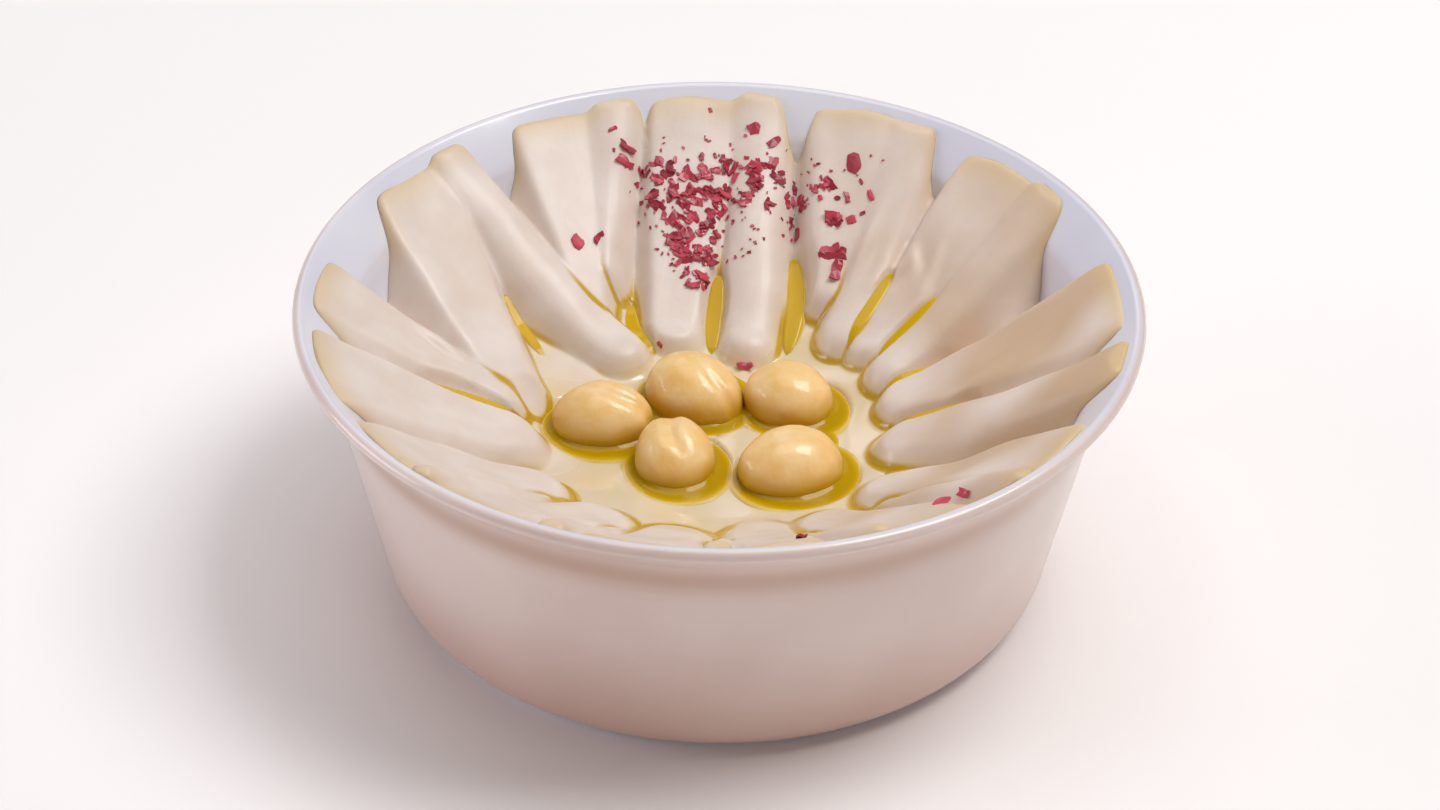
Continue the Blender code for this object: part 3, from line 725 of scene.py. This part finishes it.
def all_lips():
    """List the large lips and the small ones, which point along the strokes."""
    draw = random.Random(SMALL_LIP_SEED)
    lips = list(LIPS)
    for _ in range(SMALL_LIPS):
        radius, azimuth = draw.uniform(*SMALL_LIP_RADII), draw.uniform(0, 360)
        x, y = polar(radius, azimuth)
        length, width = draw.uniform(*SMALL_LIP_LENGTHS), draw.uniform(*SMALL_LIP_WIDTHS)
        turn = azimuth + draw.uniform(-SMALL_LIP_TURN, SMALL_LIP_TURN)
        lips.append((x, y, length, width, turn, draw.uniform(-SMALL_LIP_HEIGHT, SMALL_LIP_HEIGHT)))
    return lips


def relief(x, y):
    """Height that the spoon's marks add to the strokes."""
    height = FAINT_HEIGHT * ripple(x, y, FAINT_WAVES)
    for lip_x, lip_y, length, width, azimuth, lift in all_lips():
        turn = math.radians(azimuth)
        along = ((x - lip_x) * math.cos(turn) + (y - lip_y) * math.sin(turn)) / length
        across = ((y - lip_y) * math.cos(turn) - (x - lip_x) * math.sin(turn)) / width
        height = height + lift * across * np.exp(-along ** 2 - across ** 2)
    return height


def hummus_height(x, y):
    """Height of the paste with its marks, its dimples and the troughs under the oil."""
    height = strokes_height(x, y)
    marked = np.clip((np.hypot(x, y) - MARKS_START) / MARKS_FADE, 0.0, 1.0)
    height = -blended(-np.stack([height + relief(x, y) * marked, dimple_floor(x, y)]), PRESS_BLEND)
    for streak, path in zip(STREAKS, PATHS):
        reach, level = streak_reach(x, y, path, streak[4])
        bottom = level - streak[5] * np.clip(1.0 - reach ** 2, 0.0, 1.0)
        side = level + (reach - 1.0) * streak[4] / 2 * TROUGH_SLOPE
        height = np.minimum(height, np.where(reach < 1.0, bottom, side))
    return height


# %% [markdown]
# ## The hummus
#
# A disc of fine rings is laid over the height above, like a cloth over a form.
# Its outer rings turn over the top edge and run down inside the wall to the floor, so
# the paste is one closed body and sits in the bowl as the real one does.

# %% Where the hummus meets the wall
INTO_WALL = 0.25
NEAREST_WALL = 40.0
HALVINGS = 24
STEP_LIMIT = 1.2
STEP_ROUNDS = 6
BELOW_GAP = 0.35
BELOW_TOP = 1.0
EDGE_ROUND = 1.6
EDGE_DROP = 0.4
STEPS = 720
# The rings are closest together between the two edges, where the chickpeas and tips lie.
INNER_EDGE = 6.0
OUTER_EDGE = 27.0
INNER_RINGS = 8
MIDDLE_RINGS = 62
OUTER_RINGS = 49


def wall_contact(azimuth):
    """Radius at which the hummus meets the bowl, found by halving."""
    low, high = np.full_like(azimuth, NEAREST_WALL), np.full_like(azimuth, RIM_RADIUS)
    for _ in range(HALVINGS):
        middle = (low + high) / 2
        level = strokes_height(*polar(middle, azimuth)) - EDGE_DROP
        inside = middle - INTO_WALL < inner_radius(level)
        low, high = np.where(inside, middle, low), np.where(inside, high, middle)
    return (low + high) / 2


# %% Lay a disc over the strokes
def ring_places():
    """Place each ring of the disc, from the middle out and round to the floor."""
    azimuths = np.arange(STEPS) * 360.0 / STEPS
    contact = wall_contact(azimuths)
    for way in (1, -1) * STEP_ROUNDS:
        contact = np.minimum(contact, np.roll(contact, way) + STEP_LIMIT)
    inner = np.linspace(0.0, INNER_EDGE, INNER_RINGS, endpoint=False)
    middle = np.linspace(INNER_EDGE, OUTER_EDGE, MIDDLE_RINGS, endpoint=False)
    rings = [np.full(STEPS, radius) for radius in (*inner, *middle)]
    rings += [OUTER_EDGE + (contact - OUTER_EDGE) * t for t in np.linspace(0.0, 1.0, OUTER_RINGS)]
    places = []
    for radii in rings:
        x, y = polar(radii, azimuths)
        edge = np.clip(radii - contact + EDGE_ROUND, 0.0, None) / EDGE_ROUND
        places.append((x, y, hummus_height(x, y) - EDGE_DROP * edge ** 2))
    top = places[-1][2]
    corner = FLOOR_THICKNESS + FLOOR_CORNER
    neck = np.where(top > NECK_HEIGHT, NECK_HEIGHT, top - BELOW_TOP)
    for level in (neck, (neck + corner) / 2, np.full_like(top, corner)):
        places.append((*polar(inner_radius(level) - BELOW_GAP, azimuths), level))
    floor = np.full_like(top, FLOOR_THICKNESS + BELOW_GAP)
    places.append((*polar(inner_radius(corner) - FLOOR_CORNER, azimuths), floor))
    places.append((floor * 0, floor * 0, floor))
    return np.stack([np.stack(ring, axis=-1) for ring in places]), contact


# %% [markdown]
# ## Chickpea paste
#
# Fresh hummus is pale, smooth and moist. Light goes a little way in and comes out warm.
# Where oil has run it is yellower and shinier. The thin edges at the rim have begun to
# dry, and turn the colour of straw. The strokes at the right, which face away from the key
# lamp, are given a painted shade of tan. Each of these is a number stored on the mesh.

# %% Finish of the paste
paste = Finish(
    "chickpea_paste", Metallic=0.0, Subsurface_Weight=0.2, Subsurface_Radius=(1.0, 0.6, 0.34),
    Subsurface_Scale=0.002, Coat_Roughness=0.1,
)
film, dry, seep = paste.attribute("film"), paste.attribute("dry"), paste.attribute("seep")
# Painted shade: tan on the strokes at the right, which face away from the key lamp.
tan = paste.attribute("tan")
drag = paste.node("ShaderNodeAttribute", {"attribute_name": "drag"}, output="Vector")
paste_drift = paste.noise(7.0, 3.0).between(0.3, 0.75)
paste_colour = paste.mix(paste_drift, colour(225, 209, 197), colour(233, 220, 211))
# Painted shade: the strokes at the right are tinted tan.
paste_colour = paste.mix(tan * 0.85, paste_colour, colour(202, 170, 134))
paste_colour = paste.mix(film * 0.75, paste_colour, colour(230, 208, 160))
paste_colour = paste.mix(dry * 0.85, paste_colour, colour(218, 188, 136))
paste_colour = paste.mix(seep.between(0.1, 0.7), paste_colour, colour(204, 164, 30))
paste.set("Base Color", paste_colour)
wet = paste.node("ShaderNodeMath", {"operation": "MAXIMUM"}, {0: film, 1: seep})
paste.set("Roughness", 0.46 - 0.3 * wet + 0.08 * dry)
paste.set("Coat Weight", 0.08 + 0.6 * wet)
drag_lines = paste.noise(1.1, 3.0, drag, (MM, MM, MM))
pits = paste.noise(0.8, 3.0)
paste.bump((drag_lines * 0.8 + pits * 0.5 + paste.noise(2.6) * 0.7) * (1.0 - 0.7 * wet), 0.05)

# %% Strengths that fade and wander
PATCH_WAVES = ((0.30, 0.22, 1.0), (-0.19, 0.34, 2.2), (0.11, -0.27, 5.1))


def grow(values, start, width):
    """Rise from 0 at a start to 1, a width further on."""
    return np.clip((values - start) / width, 0.0, 1.0)


def fade(values, end, width):
    """Fall to 0 at an end, from 1 a width before it."""
    return np.clip((end - values) / width, 0.0, 1.0)


def patchy(x, y, mean, swing):
    """A strength that wanders from place to place."""
    return np.clip(mean + swing * ripple(x, y, PATCH_WAVES), 0.0, 1.0)


# %% Creases and the drag of the spoon
PROBE = 0.1
LEAST_SLOPE = 0.4
DRAG_STRETCH = 4.0
DRAG_STEP = 9.0


def crease_gap(layers):
    """How far the highest layer stands over the next one: nought along a crease."""
    top_two = np.partition(layers, -2, axis=0)[-2:]
    return top_two[1] - top_two[0]


def crease_distance(x, y, layers):
    """Distance from the nearest crease, seen from above, about."""
    gap = crease_gap(layers)
    ways = ((PROBE, 0.0), (0.0, PROBE))
    slopes = [(crease_gap(height_layers(x + dx, y + dy)) - gap) / PROBE for dx, dy in ways]
    return gap / np.maximum(np.hypot(*slopes), LEAST_SLOPE)


def drag_places(x, y, layers):
    """Coordinates across and along the stroke that lies on top at each place."""
    found = np.stack([x, y, np.zeros_like(x)], axis=-1)
    highest = layers.argmax(axis=0)
    for number, stroke in enumerate(STROKES, 1):
        along, distance, leftness, _ = stroke_frame(x, y, stroke)
        own = np.full_like(x, DRAG_STEP * number)
        here = np.stack([distance * leftness, along * DRAG_STRETCH, own], axis=-1)
        found = np.where((highest == number)[:, None], here, found)
    return found


# %% Numbers for the finish
# Each band: where it starts or ends, and over how many millimetres it fades.
FILM_RISE, FILM_END = (0.5, 2.0), (40.0, 14.0)
DRY_EDGE, DRY_RISE = (4.5, 4.5), (3.0, 4.0)
PAINTED_SHADE_START = (24.0, 10.0)
SEEP_START, SEEP_END = (19.0, 3.0), (37.0, 7.0)
# How strong each is on average, and how much that wanders from place to place.
FILM_PATCHES, PAINTED_SHADE_PATCHES, SEEP_PATCHES = (0.85, 0.2), (0.8, 0.3), (0.85, 0.25)
DRY_SHARPNESS = 1.4
# The painted shade is strongest at this azimuth, where the strokes face away from the key lamp.
PAINTED_SHADE_AZIMUTH = 352.0
PAINTED_SHADE_SHARPNESS = 1.5
SEEP_CORE = 1.3
SEEP_WIDTH = 0.5
FRONT_WIDTH = 0.7
FRONT_REACH = 25.0


def dress_hummus(piece, contact):
    """Store wetness, dryness, painted shade at the right, seeping oil and the drag of the spoon on the
    mesh.
    """
    count = len(piece.data.vertices)
    knots = np.empty(count * 3, dtype=np.float32)
    piece.data.vertices.foreach_get("co", knots)
    x, y, _ = knots.reshape(-1, 3).astype(float).T / MM
    layers = height_layers(x, y)
    radius, azimuth = np.hypot(x, y), np.degrees(np.arctan2(y, x)) % 360.0
    edge = np.interp(azimuth, np.arange(STEPS) * 360.0 / STEPS, contact) - radius
    above = blended(layers) - layers[0]
    low = 1.0 - grow(above, *FILM_RISE)
    store(piece, "film", low * fade(radius, *FILM_END) * patchy(x, y, *FILM_PATCHES))
    store(piece, "dry", fade(edge, *DRY_EDGE) ** DRY_SHARPNESS * grow(above, *DRY_RISE))
    # Painted shade on the strokes at the right.
    right = np.clip(np.cos(np.radians(azimuth - PAINTED_SHADE_AZIMUTH)), 0.0, 1.0) ** PAINTED_SHADE_SHARPNESS
    store(piece, "tan", right * grow(radius, *PAINTED_SHADE_START) * patchy(x, y, *PAINTED_SHADE_PATCHES))
    width = SEEP_WIDTH + FRONT_WIDTH * grow(-y, 0.0, FRONT_REACH)
    line = np.clip(SEEP_CORE - crease_distance(x, y, layers) / width, 0.0, 1.0)
    line = line * fade(radius, *SEEP_END) * grow(radius, *SEEP_START)
    store(piece, "seep", line * patchy(x, y, *SEEP_PATCHES))
    layer = piece.data.attributes.new("drag", "FLOAT_VECTOR", "POINT")
    layer.data.foreach_set("vector", drag_places(x, y, layers).astype(np.float32).ravel())


# %% Make the hummus
places, contact = ring_places()
hummus = add_piece("hummus_strokes", rolled_disc(places), paste, ["hummus"])
dress_hummus(hummus, contact)

# %% [markdown]
# ## Olive oil
#
# Oil is clear, so its colour comes from depth: a thin film barely tints the paste, and
# a deep pool is green gold. The depth at each place is known exactly, as the oil's level
# less the paste's height, and the finish turns it into colour. That looks like a liquid
# from every side, and costs far less to render than real refraction.

# %% Finish of the oil
oil = Finish(
    "olive_oil", Metallic=0.0, Roughness=0.06, IOR=1.47, Specular_IOR_Level=0.25, Coat_Weight=0.05,
    Coat_Roughness=0.03,
)
depth = oil.attribute("depth")
shallow = oil.mix(depth.between(0.0, 0.45), colour(226, 198, 120), colour(208, 168, 18))
oil.set("Base Color", oil.mix(depth.between(0.3, 2.6), shallow, colour(181, 143, 0)))


def store_depth(piece):
    """Keep the oil's depth over the paste at each of its vertices."""
    places = np.array([tuple(v.co) for v in piece.data.vertices]) / MM
    bottom = hummus_height(places[:, 0], places[:, 1])
    store(piece, "depth", np.maximum(places[:, 2] - bottom, 0.0))


# %% The pool round the chickpeas
POOL_RINGS = 110
POOL_STEPS = 360
POOL_RADIUS = 27.0
POOL_EDGE = 0.08
POOL_SUNK = 0.5
POOL_HIDDEN = 0.4
POOL_RISE = 0.12
MENISCUS_RISE = 0.55
MENISCUS_REACH = 0.45


def pea_gap(x, y):
    """Distance from the nearest chickpea's side, about, at the level of the oil."""
    gaps = []
    for pea_x, pea_y, length, width, _, azimuth, _ in PEAS:
        share = dimple_reach(x, y, (pea_x, pea_y, length, width, 0.0, azimuth))
        gaps.append((share - 1.0) * width)
    return np.maximum(np.min(gaps, axis=0), 0.0)


def pool_places():
    """A level disc that dips under the banks outside the dimples and climbs the peas."""
    azimuths = np.arange(POOL_STEPS) * 360.0 / POOL_STEPS
    places = []
    for radius in np.linspace(0.0, POOL_RADIUS, POOL_RINGS):
        x, y = polar(np.full(POOL_STEPS, radius), azimuths)
        reach = np.min([dimple_reach(x, y, dimple) for dimple in dimples()], axis=0)
        share = np.clip((reach - 1.0 - POOL_EDGE) / POOL_EDGE, 0.0, 1.0)
        risen = OIL_LEVEL + POOL_RISE + MENISCUS_RISE * np.exp(-pea_gap(x, y) / MENISCUS_REACH)
        level = risen - (risen - np.minimum(strokes_height(x, y), OIL_LEVEL) + POOL_SUNK) * share
        places.append(np.stack([x, y, level], axis=-1))
    return np.stack(places)


def pool_mesh():
    """The disc without the parts that lie under the paste."""
    bm = rolled_disc(pool_places())
    lowest = OIL_LEVEL - POOL_HIDDEN
    hidden = [face for face in bm.faces if max(knot.co.z for knot in face.verts) < lowest]
    bmesh.ops.delete(bm, geom=hidden, context="FACES")
    if sum(face.normal.z for face in bm.faces) < 0:
        bmesh.ops.reverse_faces(bm, faces=bm.faces)
    return bm


pool = add_piece("oil_pool_surface", pool_mesh(), oil, ["oil_pool"])
store_depth(pool)


# %% The streaks between the strokes
STREAK_ACROSS = 12
STREAK_OVERLAP = 0.12
STREAK_TUCK = 0.5
TUCK_START = 0.75


def streak_mesh(path, width):
    """A strip along a crease, level across, with its edges tucked under the paste."""
    px, py, level = path
    halves = streak_half_widths(width)
    bm = bmesh.new()
    bmesh.ops.create_grid(bm, x_segments=STREAK_POINTS - 1, y_segments=STREAK_ACROSS, size=1.0)
    for knot in bm.verts:
        k = round((knot.co.x + 1.0) / 2.0 * (STREAK_POINTS - 1))
        ahead, behind = min(k + 1, STREAK_POINTS - 1), max(k - 1, 0)
        run = Vector((px[ahead] - px[behind], py[ahead] - py[behind])).normalized()
        off = knot.co.y * (halves[k] + STREAK_OVERLAP)
        tuck = STREAK_TUCK * max(0.0, abs(knot.co.y) - TUCK_START) / (1.0 - TUCK_START)
        knot.co = (px[k] - run.y * off, py[k] + run.x * off, level[k] - tuck)
    return bm


for number, (streak, path) in enumerate(zip(STREAKS, PATHS), 1):
    strip = streak_mesh(path, streak[4])
    run = add_piece(f"oil_run_{number}", strip, oil, [f"oil_streak_{number}"])
    store_depth(run)

# %% [markdown]
# ## The chickpeas
#
# A cooked chickpea is a ball with a small beak at one end, where the root began, and a
# soft seam that runs back from the beak. A sphere with its points pushed along those two
# features gives the shape. The skin is thin and wet, and a little wrinkled.

# %% Finish of the chickpea skin
skin = Finish(
    "chickpea_skin", Metallic=0.0, Coat_Weight=0.5, Coat_Roughness=0.07, Subsurface_Weight=0.25,
    Subsurface_Radius=(1.0, 0.5, 0.2), Subsurface_Scale=0.0018,
)
skin_drift = skin.noise(3.5, 3.0).between(0.3, 0.7)
skin_colour = skin.mix(skin_drift, colour(245, 199, 122), colour(251, 215, 154))
oiled = 1.0 - skin.attribute("height").between(1.0, 4.2)
skin.set("Base Color", skin.mix(oiled * 0.95, skin_colour, colour(210, 164, 14)))
skin.set("Roughness", 0.34 + 0.1 * skin.noise(1.5))
skin.bump(skin.noise(2.4) * 0.8 + skin.noise(0.6) * 0.25, 0.12)

# %% Shape of one chickpea
BEAK_HEIGHT = 0.16
BEAK_SHARPNESS = 0.22
BEAK_PULL = 2.0
BEAK_COVER = 0.6
SEAM_BEND = 0.12
SEAM_WAVE = 3.0
SEAM_START = -0.35
SEAM_FADE = 0.6
LUMP_HEIGHT = 0.025
LUMP_SCALE = 2.1
# Depth and width of the seam on each pea.
SEAMS = ((0.15, 0.16), (0.08, 0.12), (0.05, 0.2), (0.15, 0.2), (0.05, 0.22))


def pea_mesh(pea, seam_depth, seam_width):
    """Push a sphere out at the beak and in along the seam, and lay it in its dimple."""
    x, y, length, width, height, azimuth, tilt = pea
    bm = bmesh.new()
    bmesh.ops.create_icosphere(bm, subdivisions=5, radius=1.0)
    for knot in bm.verts:
        way = knot.co.normalized()
        beak = BEAK_HEIGHT * math.exp(-(1.0 - way.x) / BEAK_SHARPNESS)
        bend = SEAM_BEND * math.sin(way.x * SEAM_WAVE + x)
        ahead = max(0.0, way.x - SEAM_START) ** SEAM_FADE
        seam = seam_depth * math.exp(-((way.y - bend) / seam_width) ** 2) * ahead
        lump = LUMP_HEIGHT * noise.noise(way * LUMP_SCALE + Vector((x, y, 0.0)))
        size = 1.0 + beak - seam * (1.0 - beak / BEAK_HEIGHT * BEAK_COVER) + lump
        knot.co = (way.x * (length * size - beak * BEAK_PULL), way.y * width * size, way.z * height * size)
    turn = Matrix.Rotation(math.radians(azimuth), 4, "Z")
    lean = Matrix.Rotation(math.radians(-tilt), 4, "Y")
    bm.transform(Matrix.Translation((x, y, PEA_LEVEL)) @ turn @ lean)
    return bm


for number, (pea, seam) in enumerate(zip(PEAS, SEAMS), 1):
    made = add_piece(f"pea_{number}", pea_mesh(pea, *seam), skin, [f"chickpea_{number}"])
    store(made, "height", [v.co.z / MM - OIL_LEVEL for v in made.data.vertices])

# %% [markdown]
# ## Crimson flakes
#
# The flakes are dried and crushed: thin, angular and a little curled. Each is a small
# grid of six faces with its corners pulled about, bent, and given a thickness. They are
# drawn by a seeded rule and dropped straight down onto the paste in loose clusters.

# %% Finish of the flakes
crimson = Finish("crimson_flakes", Metallic=0.0, Coat_Weight=0.25, Coat_Roughness=0.15)
shade = crimson.attribute("shade")
crimson.set("Base Color", crimson.mix(shade, colour(142, 24, 46), colour(204, 66, 88)))
crimson.set("Roughness", 0.5 - 0.15 * shade)
crimson.bump(crimson.noise(0.5, 2.0), 0.08)

# %% Where the flakes fall
FLAKE_SEED = 11
# Each patch: number of flakes, then radius, first and last azimuth of its outer and inner side.
PATCHES = (
    (78, (46.5, 80.0, 108.0), (40.0, 84.0, 104.0)),
    (64, (42.0, 88.0, 104.0), (30.0, 93.0, 100.0)),
    (26, (35.0, 91.5, 101.5), (28.5, 94.0, 99.0)),
    (36, (46.0, 66.0, 82.0), (39.5, 72.0, 86.0)),
    (12, (46.0, 60.0, 68.0), (35.0, 60.0, 70.0)),
)
# Each single flake: radius, azimuth, half length.
SINGLES = (
    (48.0, 106.5, 1.6), (46.0, 101.5, 1.0), (37.5, 122.5, 1.5), (37.5, 118.0, 0.9), (49.5, 84.5, 1.1),
    (48.5, 81.0, 1.2), (35.0, 62.5, 1.7), (34.0, 60.5, 1.5), (35.8, 64.0, 1.2), (47.0, 312.0, 1.1),
    (48.0, 306.0, 1.1), (47.0, 283.0, 1.1), (9.3, 181.9, 0.8), (17.2, 77.6, 1.0), (20.8, 113.8, 0.5),
    (52.3, 91.9, 0.5), (50.0, 108.5, 0.8), (47.5, 66.0, 1.6), (44.0, 60.5, 0.9),
)
CRUMBS = 140
CRUMB_PATCH = ((49.0, 60.0, 110.0), (30.0, 84.0, 104.0))
CRUMB_SIZES = (0.16, 0.34)
# Sizes start at the least one, and the bias makes large flakes rare.
LEAST_FLAKE = 0.42
FLAKE_SPREAD = 0.75
FLAKE_BIAS = 1.8
PATCH_BIAS = 0.8


def patch_spot(draw, outer, inner):
    """Draw a place in a patch that narrows from its outer to its inner side."""
    share = draw.random() ** PATCH_BIAS
    radius, first, last = (near + (far - near) * share for near, far in zip(inner, outer))
    return polar(radius, draw.uniform(first, last))


def flake_spots(draw):
    """List where the flakes and crumbs lie and how large they are."""
    spots = [(*polar(radius, azimuth), size) for radius, azimuth, size in SINGLES]
    for count, outer, inner in PATCHES:
        for _ in range(count):
            spot = patch_spot(draw, outer, inner)
            spots.append((*spot, LEAST_FLAKE + FLAKE_SPREAD * draw.random() ** FLAKE_BIAS))
    for _ in range(CRUMBS):
        spots.append((*patch_spot(draw, *CRUMB_PATCH), draw.uniform(*CRUMB_SIZES)))
    return spots


# %% Shape of a flake and how it lands
FLAKE_LENGTHS = (0.8, 1.15)
FLAKE_WIDTHS = (0.4, 0.8)
FLAKE_CURLS = (-0.2, 0.4)
AT_END = 0.9
END_PULL = 0.5
PULL_ALONG, PULL_ACROSS, PULL_UP = 0.2, 0.25, 0.1
FLAKE_THICKNESS = 0.28
THICKNESS_SHARE = 0.3
DROP_HEIGHT = 80.0
LIE_ABOVE = 0.15
FLAKE_TIP = 0.5


def flake_mesh(draw, size):
    """A curled angular chip, lying flat at the origin."""
    bm = bmesh.new()
    bmesh.ops.create_grid(bm, x_segments=3, y_segments=2, size=1.0)
    length, width = size * draw.uniform(*FLAKE_LENGTHS), size * draw.uniform(*FLAKE_WIDTHS)
    curl = draw.uniform(*FLAKE_CURLS) * size
    for knot in bm.verts:
        at_end = abs(knot.co.x) > AT_END
        narrowed = knot.co.y * (1.0 - END_PULL * draw.random() * at_end)
        x = knot.co.x + draw.uniform(-PULL_ALONG, PULL_ALONG)
        y = narrowed + draw.uniform(-PULL_ACROSS, PULL_ACROSS)
        z = curl * x * x + draw.uniform(-PULL_UP, PULL_UP) * size
        knot.co = (x * length, y * width, z)
    bm.normal_update()
    thickness = min(FLAKE_THICKNESS, size * THICKNESS_SHARE)
    bmesh.ops.solidify(bm, geom=bm.faces, thickness=thickness)
    return bm


def flakes_mesh():
    """Drop every flake onto the dish and join them in one mesh."""
    draw = random.Random(FLAKE_SEED)
    ground = BVHTree.FromObject(hummus, bpy.context.evaluated_depsgraph_get())
    joined, shades = bmesh.new(), []
    for x, y, size in flake_spots(draw):
        start = Vector((x, y, DROP_HEIGHT)) * MM
        spot, normal, _, _ = ground.ray_cast(start, Vector((0, 0, -1)))
        height = max(spot.z / MM, OIL_LEVEL)
        chip = flake_mesh(draw, size)
        lean = normal.to_track_quat("Z", "X").to_matrix().to_4x4()
        tip = Matrix.Rotation(draw.uniform(-FLAKE_TIP, FLAKE_TIP), 4, "X")
        spin = Matrix.Rotation(draw.uniform(0, math.tau), 4, "Z")
        place = Matrix.Translation(Vector((x, y, height)) + normal * LIE_ABOVE)
        chip.transform(place @ lean @ spin @ tip)
        mesh = bpy.data.meshes.new("chip")
        chip.to_mesh(mesh)
        shades += [draw.random()] * len(mesh.vertices)
        joined.from_mesh(mesh)
        bpy.data.meshes.remove(mesh)
        chip.free()
    return joined, shades


flakes_bm, flake_shades = flakes_mesh()
flakes = add_piece("flakes", flakes_bm, crimson, smooth=False)
store(flakes, "shade", flake_shades)

# %% [markdown]
# ## The table and the light
#
# Food is lit softly. The key lamp stands high at the right and models the strokes. A
# wide one overhead keeps the shadows open, and a cooler one, low at the left, lights the
# shaded side of the bowl. A warm lamp in front, a faint one behind and a narrow one that
# leaves a glint on the glaze are weak. The pale room fills the rest.

# %% The table
FLOOR_SIZE = 3.0


def add_floor():
    """A plain pale table."""
    bm = bmesh.new()
    bmesh.ops.create_grid(bm, x_segments=1, y_segments=1, size=FLOOR_SIZE)
    mesh = bpy.data.meshes.new("floor")
    bm.to_mesh(mesh)
    bm.free()
    made = bpy.data.objects.new("floor", mesh)
    bpy.context.scene.collection.objects.link(made)
    pale = Finish("floor", Roughness=0.8)
    pale.set("Base Color", (0.98, 0.95, 0.94))
    mesh.materials.append(pale.material)


add_floor()

# %% The lamps and the room
ROOM_LIGHT = 0.14
# Each lamp: name, azimuth, rise, distance and size in metres, power in watts, tint.
LAMPS = (
    ("key", 8, 63, 1.2, 0.6, 8.9, (1.0, 0.985, 0.98)),
    ("left", 178, 12, 1.1, 0.6, 5.2, (0.93, 0.92, 1.0)),
    ("top", 100, 78, 1.5, 1.2, 6.6, (0.95, 0.975, 1.0)),
    ("front", -105, 6, 1.0, 0.7, 1.0, (1.0, 0.68, 0.5)),
    ("back", 100, 37, 1.1, 0.3, 0.45, (0.88, 0.87, 1.0)),
    ("glint", -52, 14, 0.8, 0.12, 0.3, (1.0, 0.95, 0.9)),
)


def add_light(name, azimuth, rise, distance, size, power, tint):
    """A square lamp that faces the dish."""
    lamp = bpy.data.lights.new(name, "AREA")
    lamp.size, lamp.energy, lamp.color = size, power, tint
    made = bpy.data.objects.new(name, lamp)
    flat = distance * math.cos(math.radians(rise))
    made.location = (*polar(flat, azimuth), distance * math.sin(math.radians(rise)))
    made.rotation_euler = (-made.location).to_track_quat("-Z", "Y").to_euler()
    bpy.context.scene.collection.objects.link(made)


for lamp in LAMPS:
    add_light(*lamp)
print("lamps:", len(LAMPS))
room = bpy.data.worlds.new("room")
room.use_nodes = True
room.node_tree.nodes["Background"].inputs["Color"].default_value = (1.0, 0.95, 0.93, 1.0)
room.node_tree.nodes["Background"].inputs["Strength"].default_value = ROOM_LIGHT
bpy.context.scene.world = room
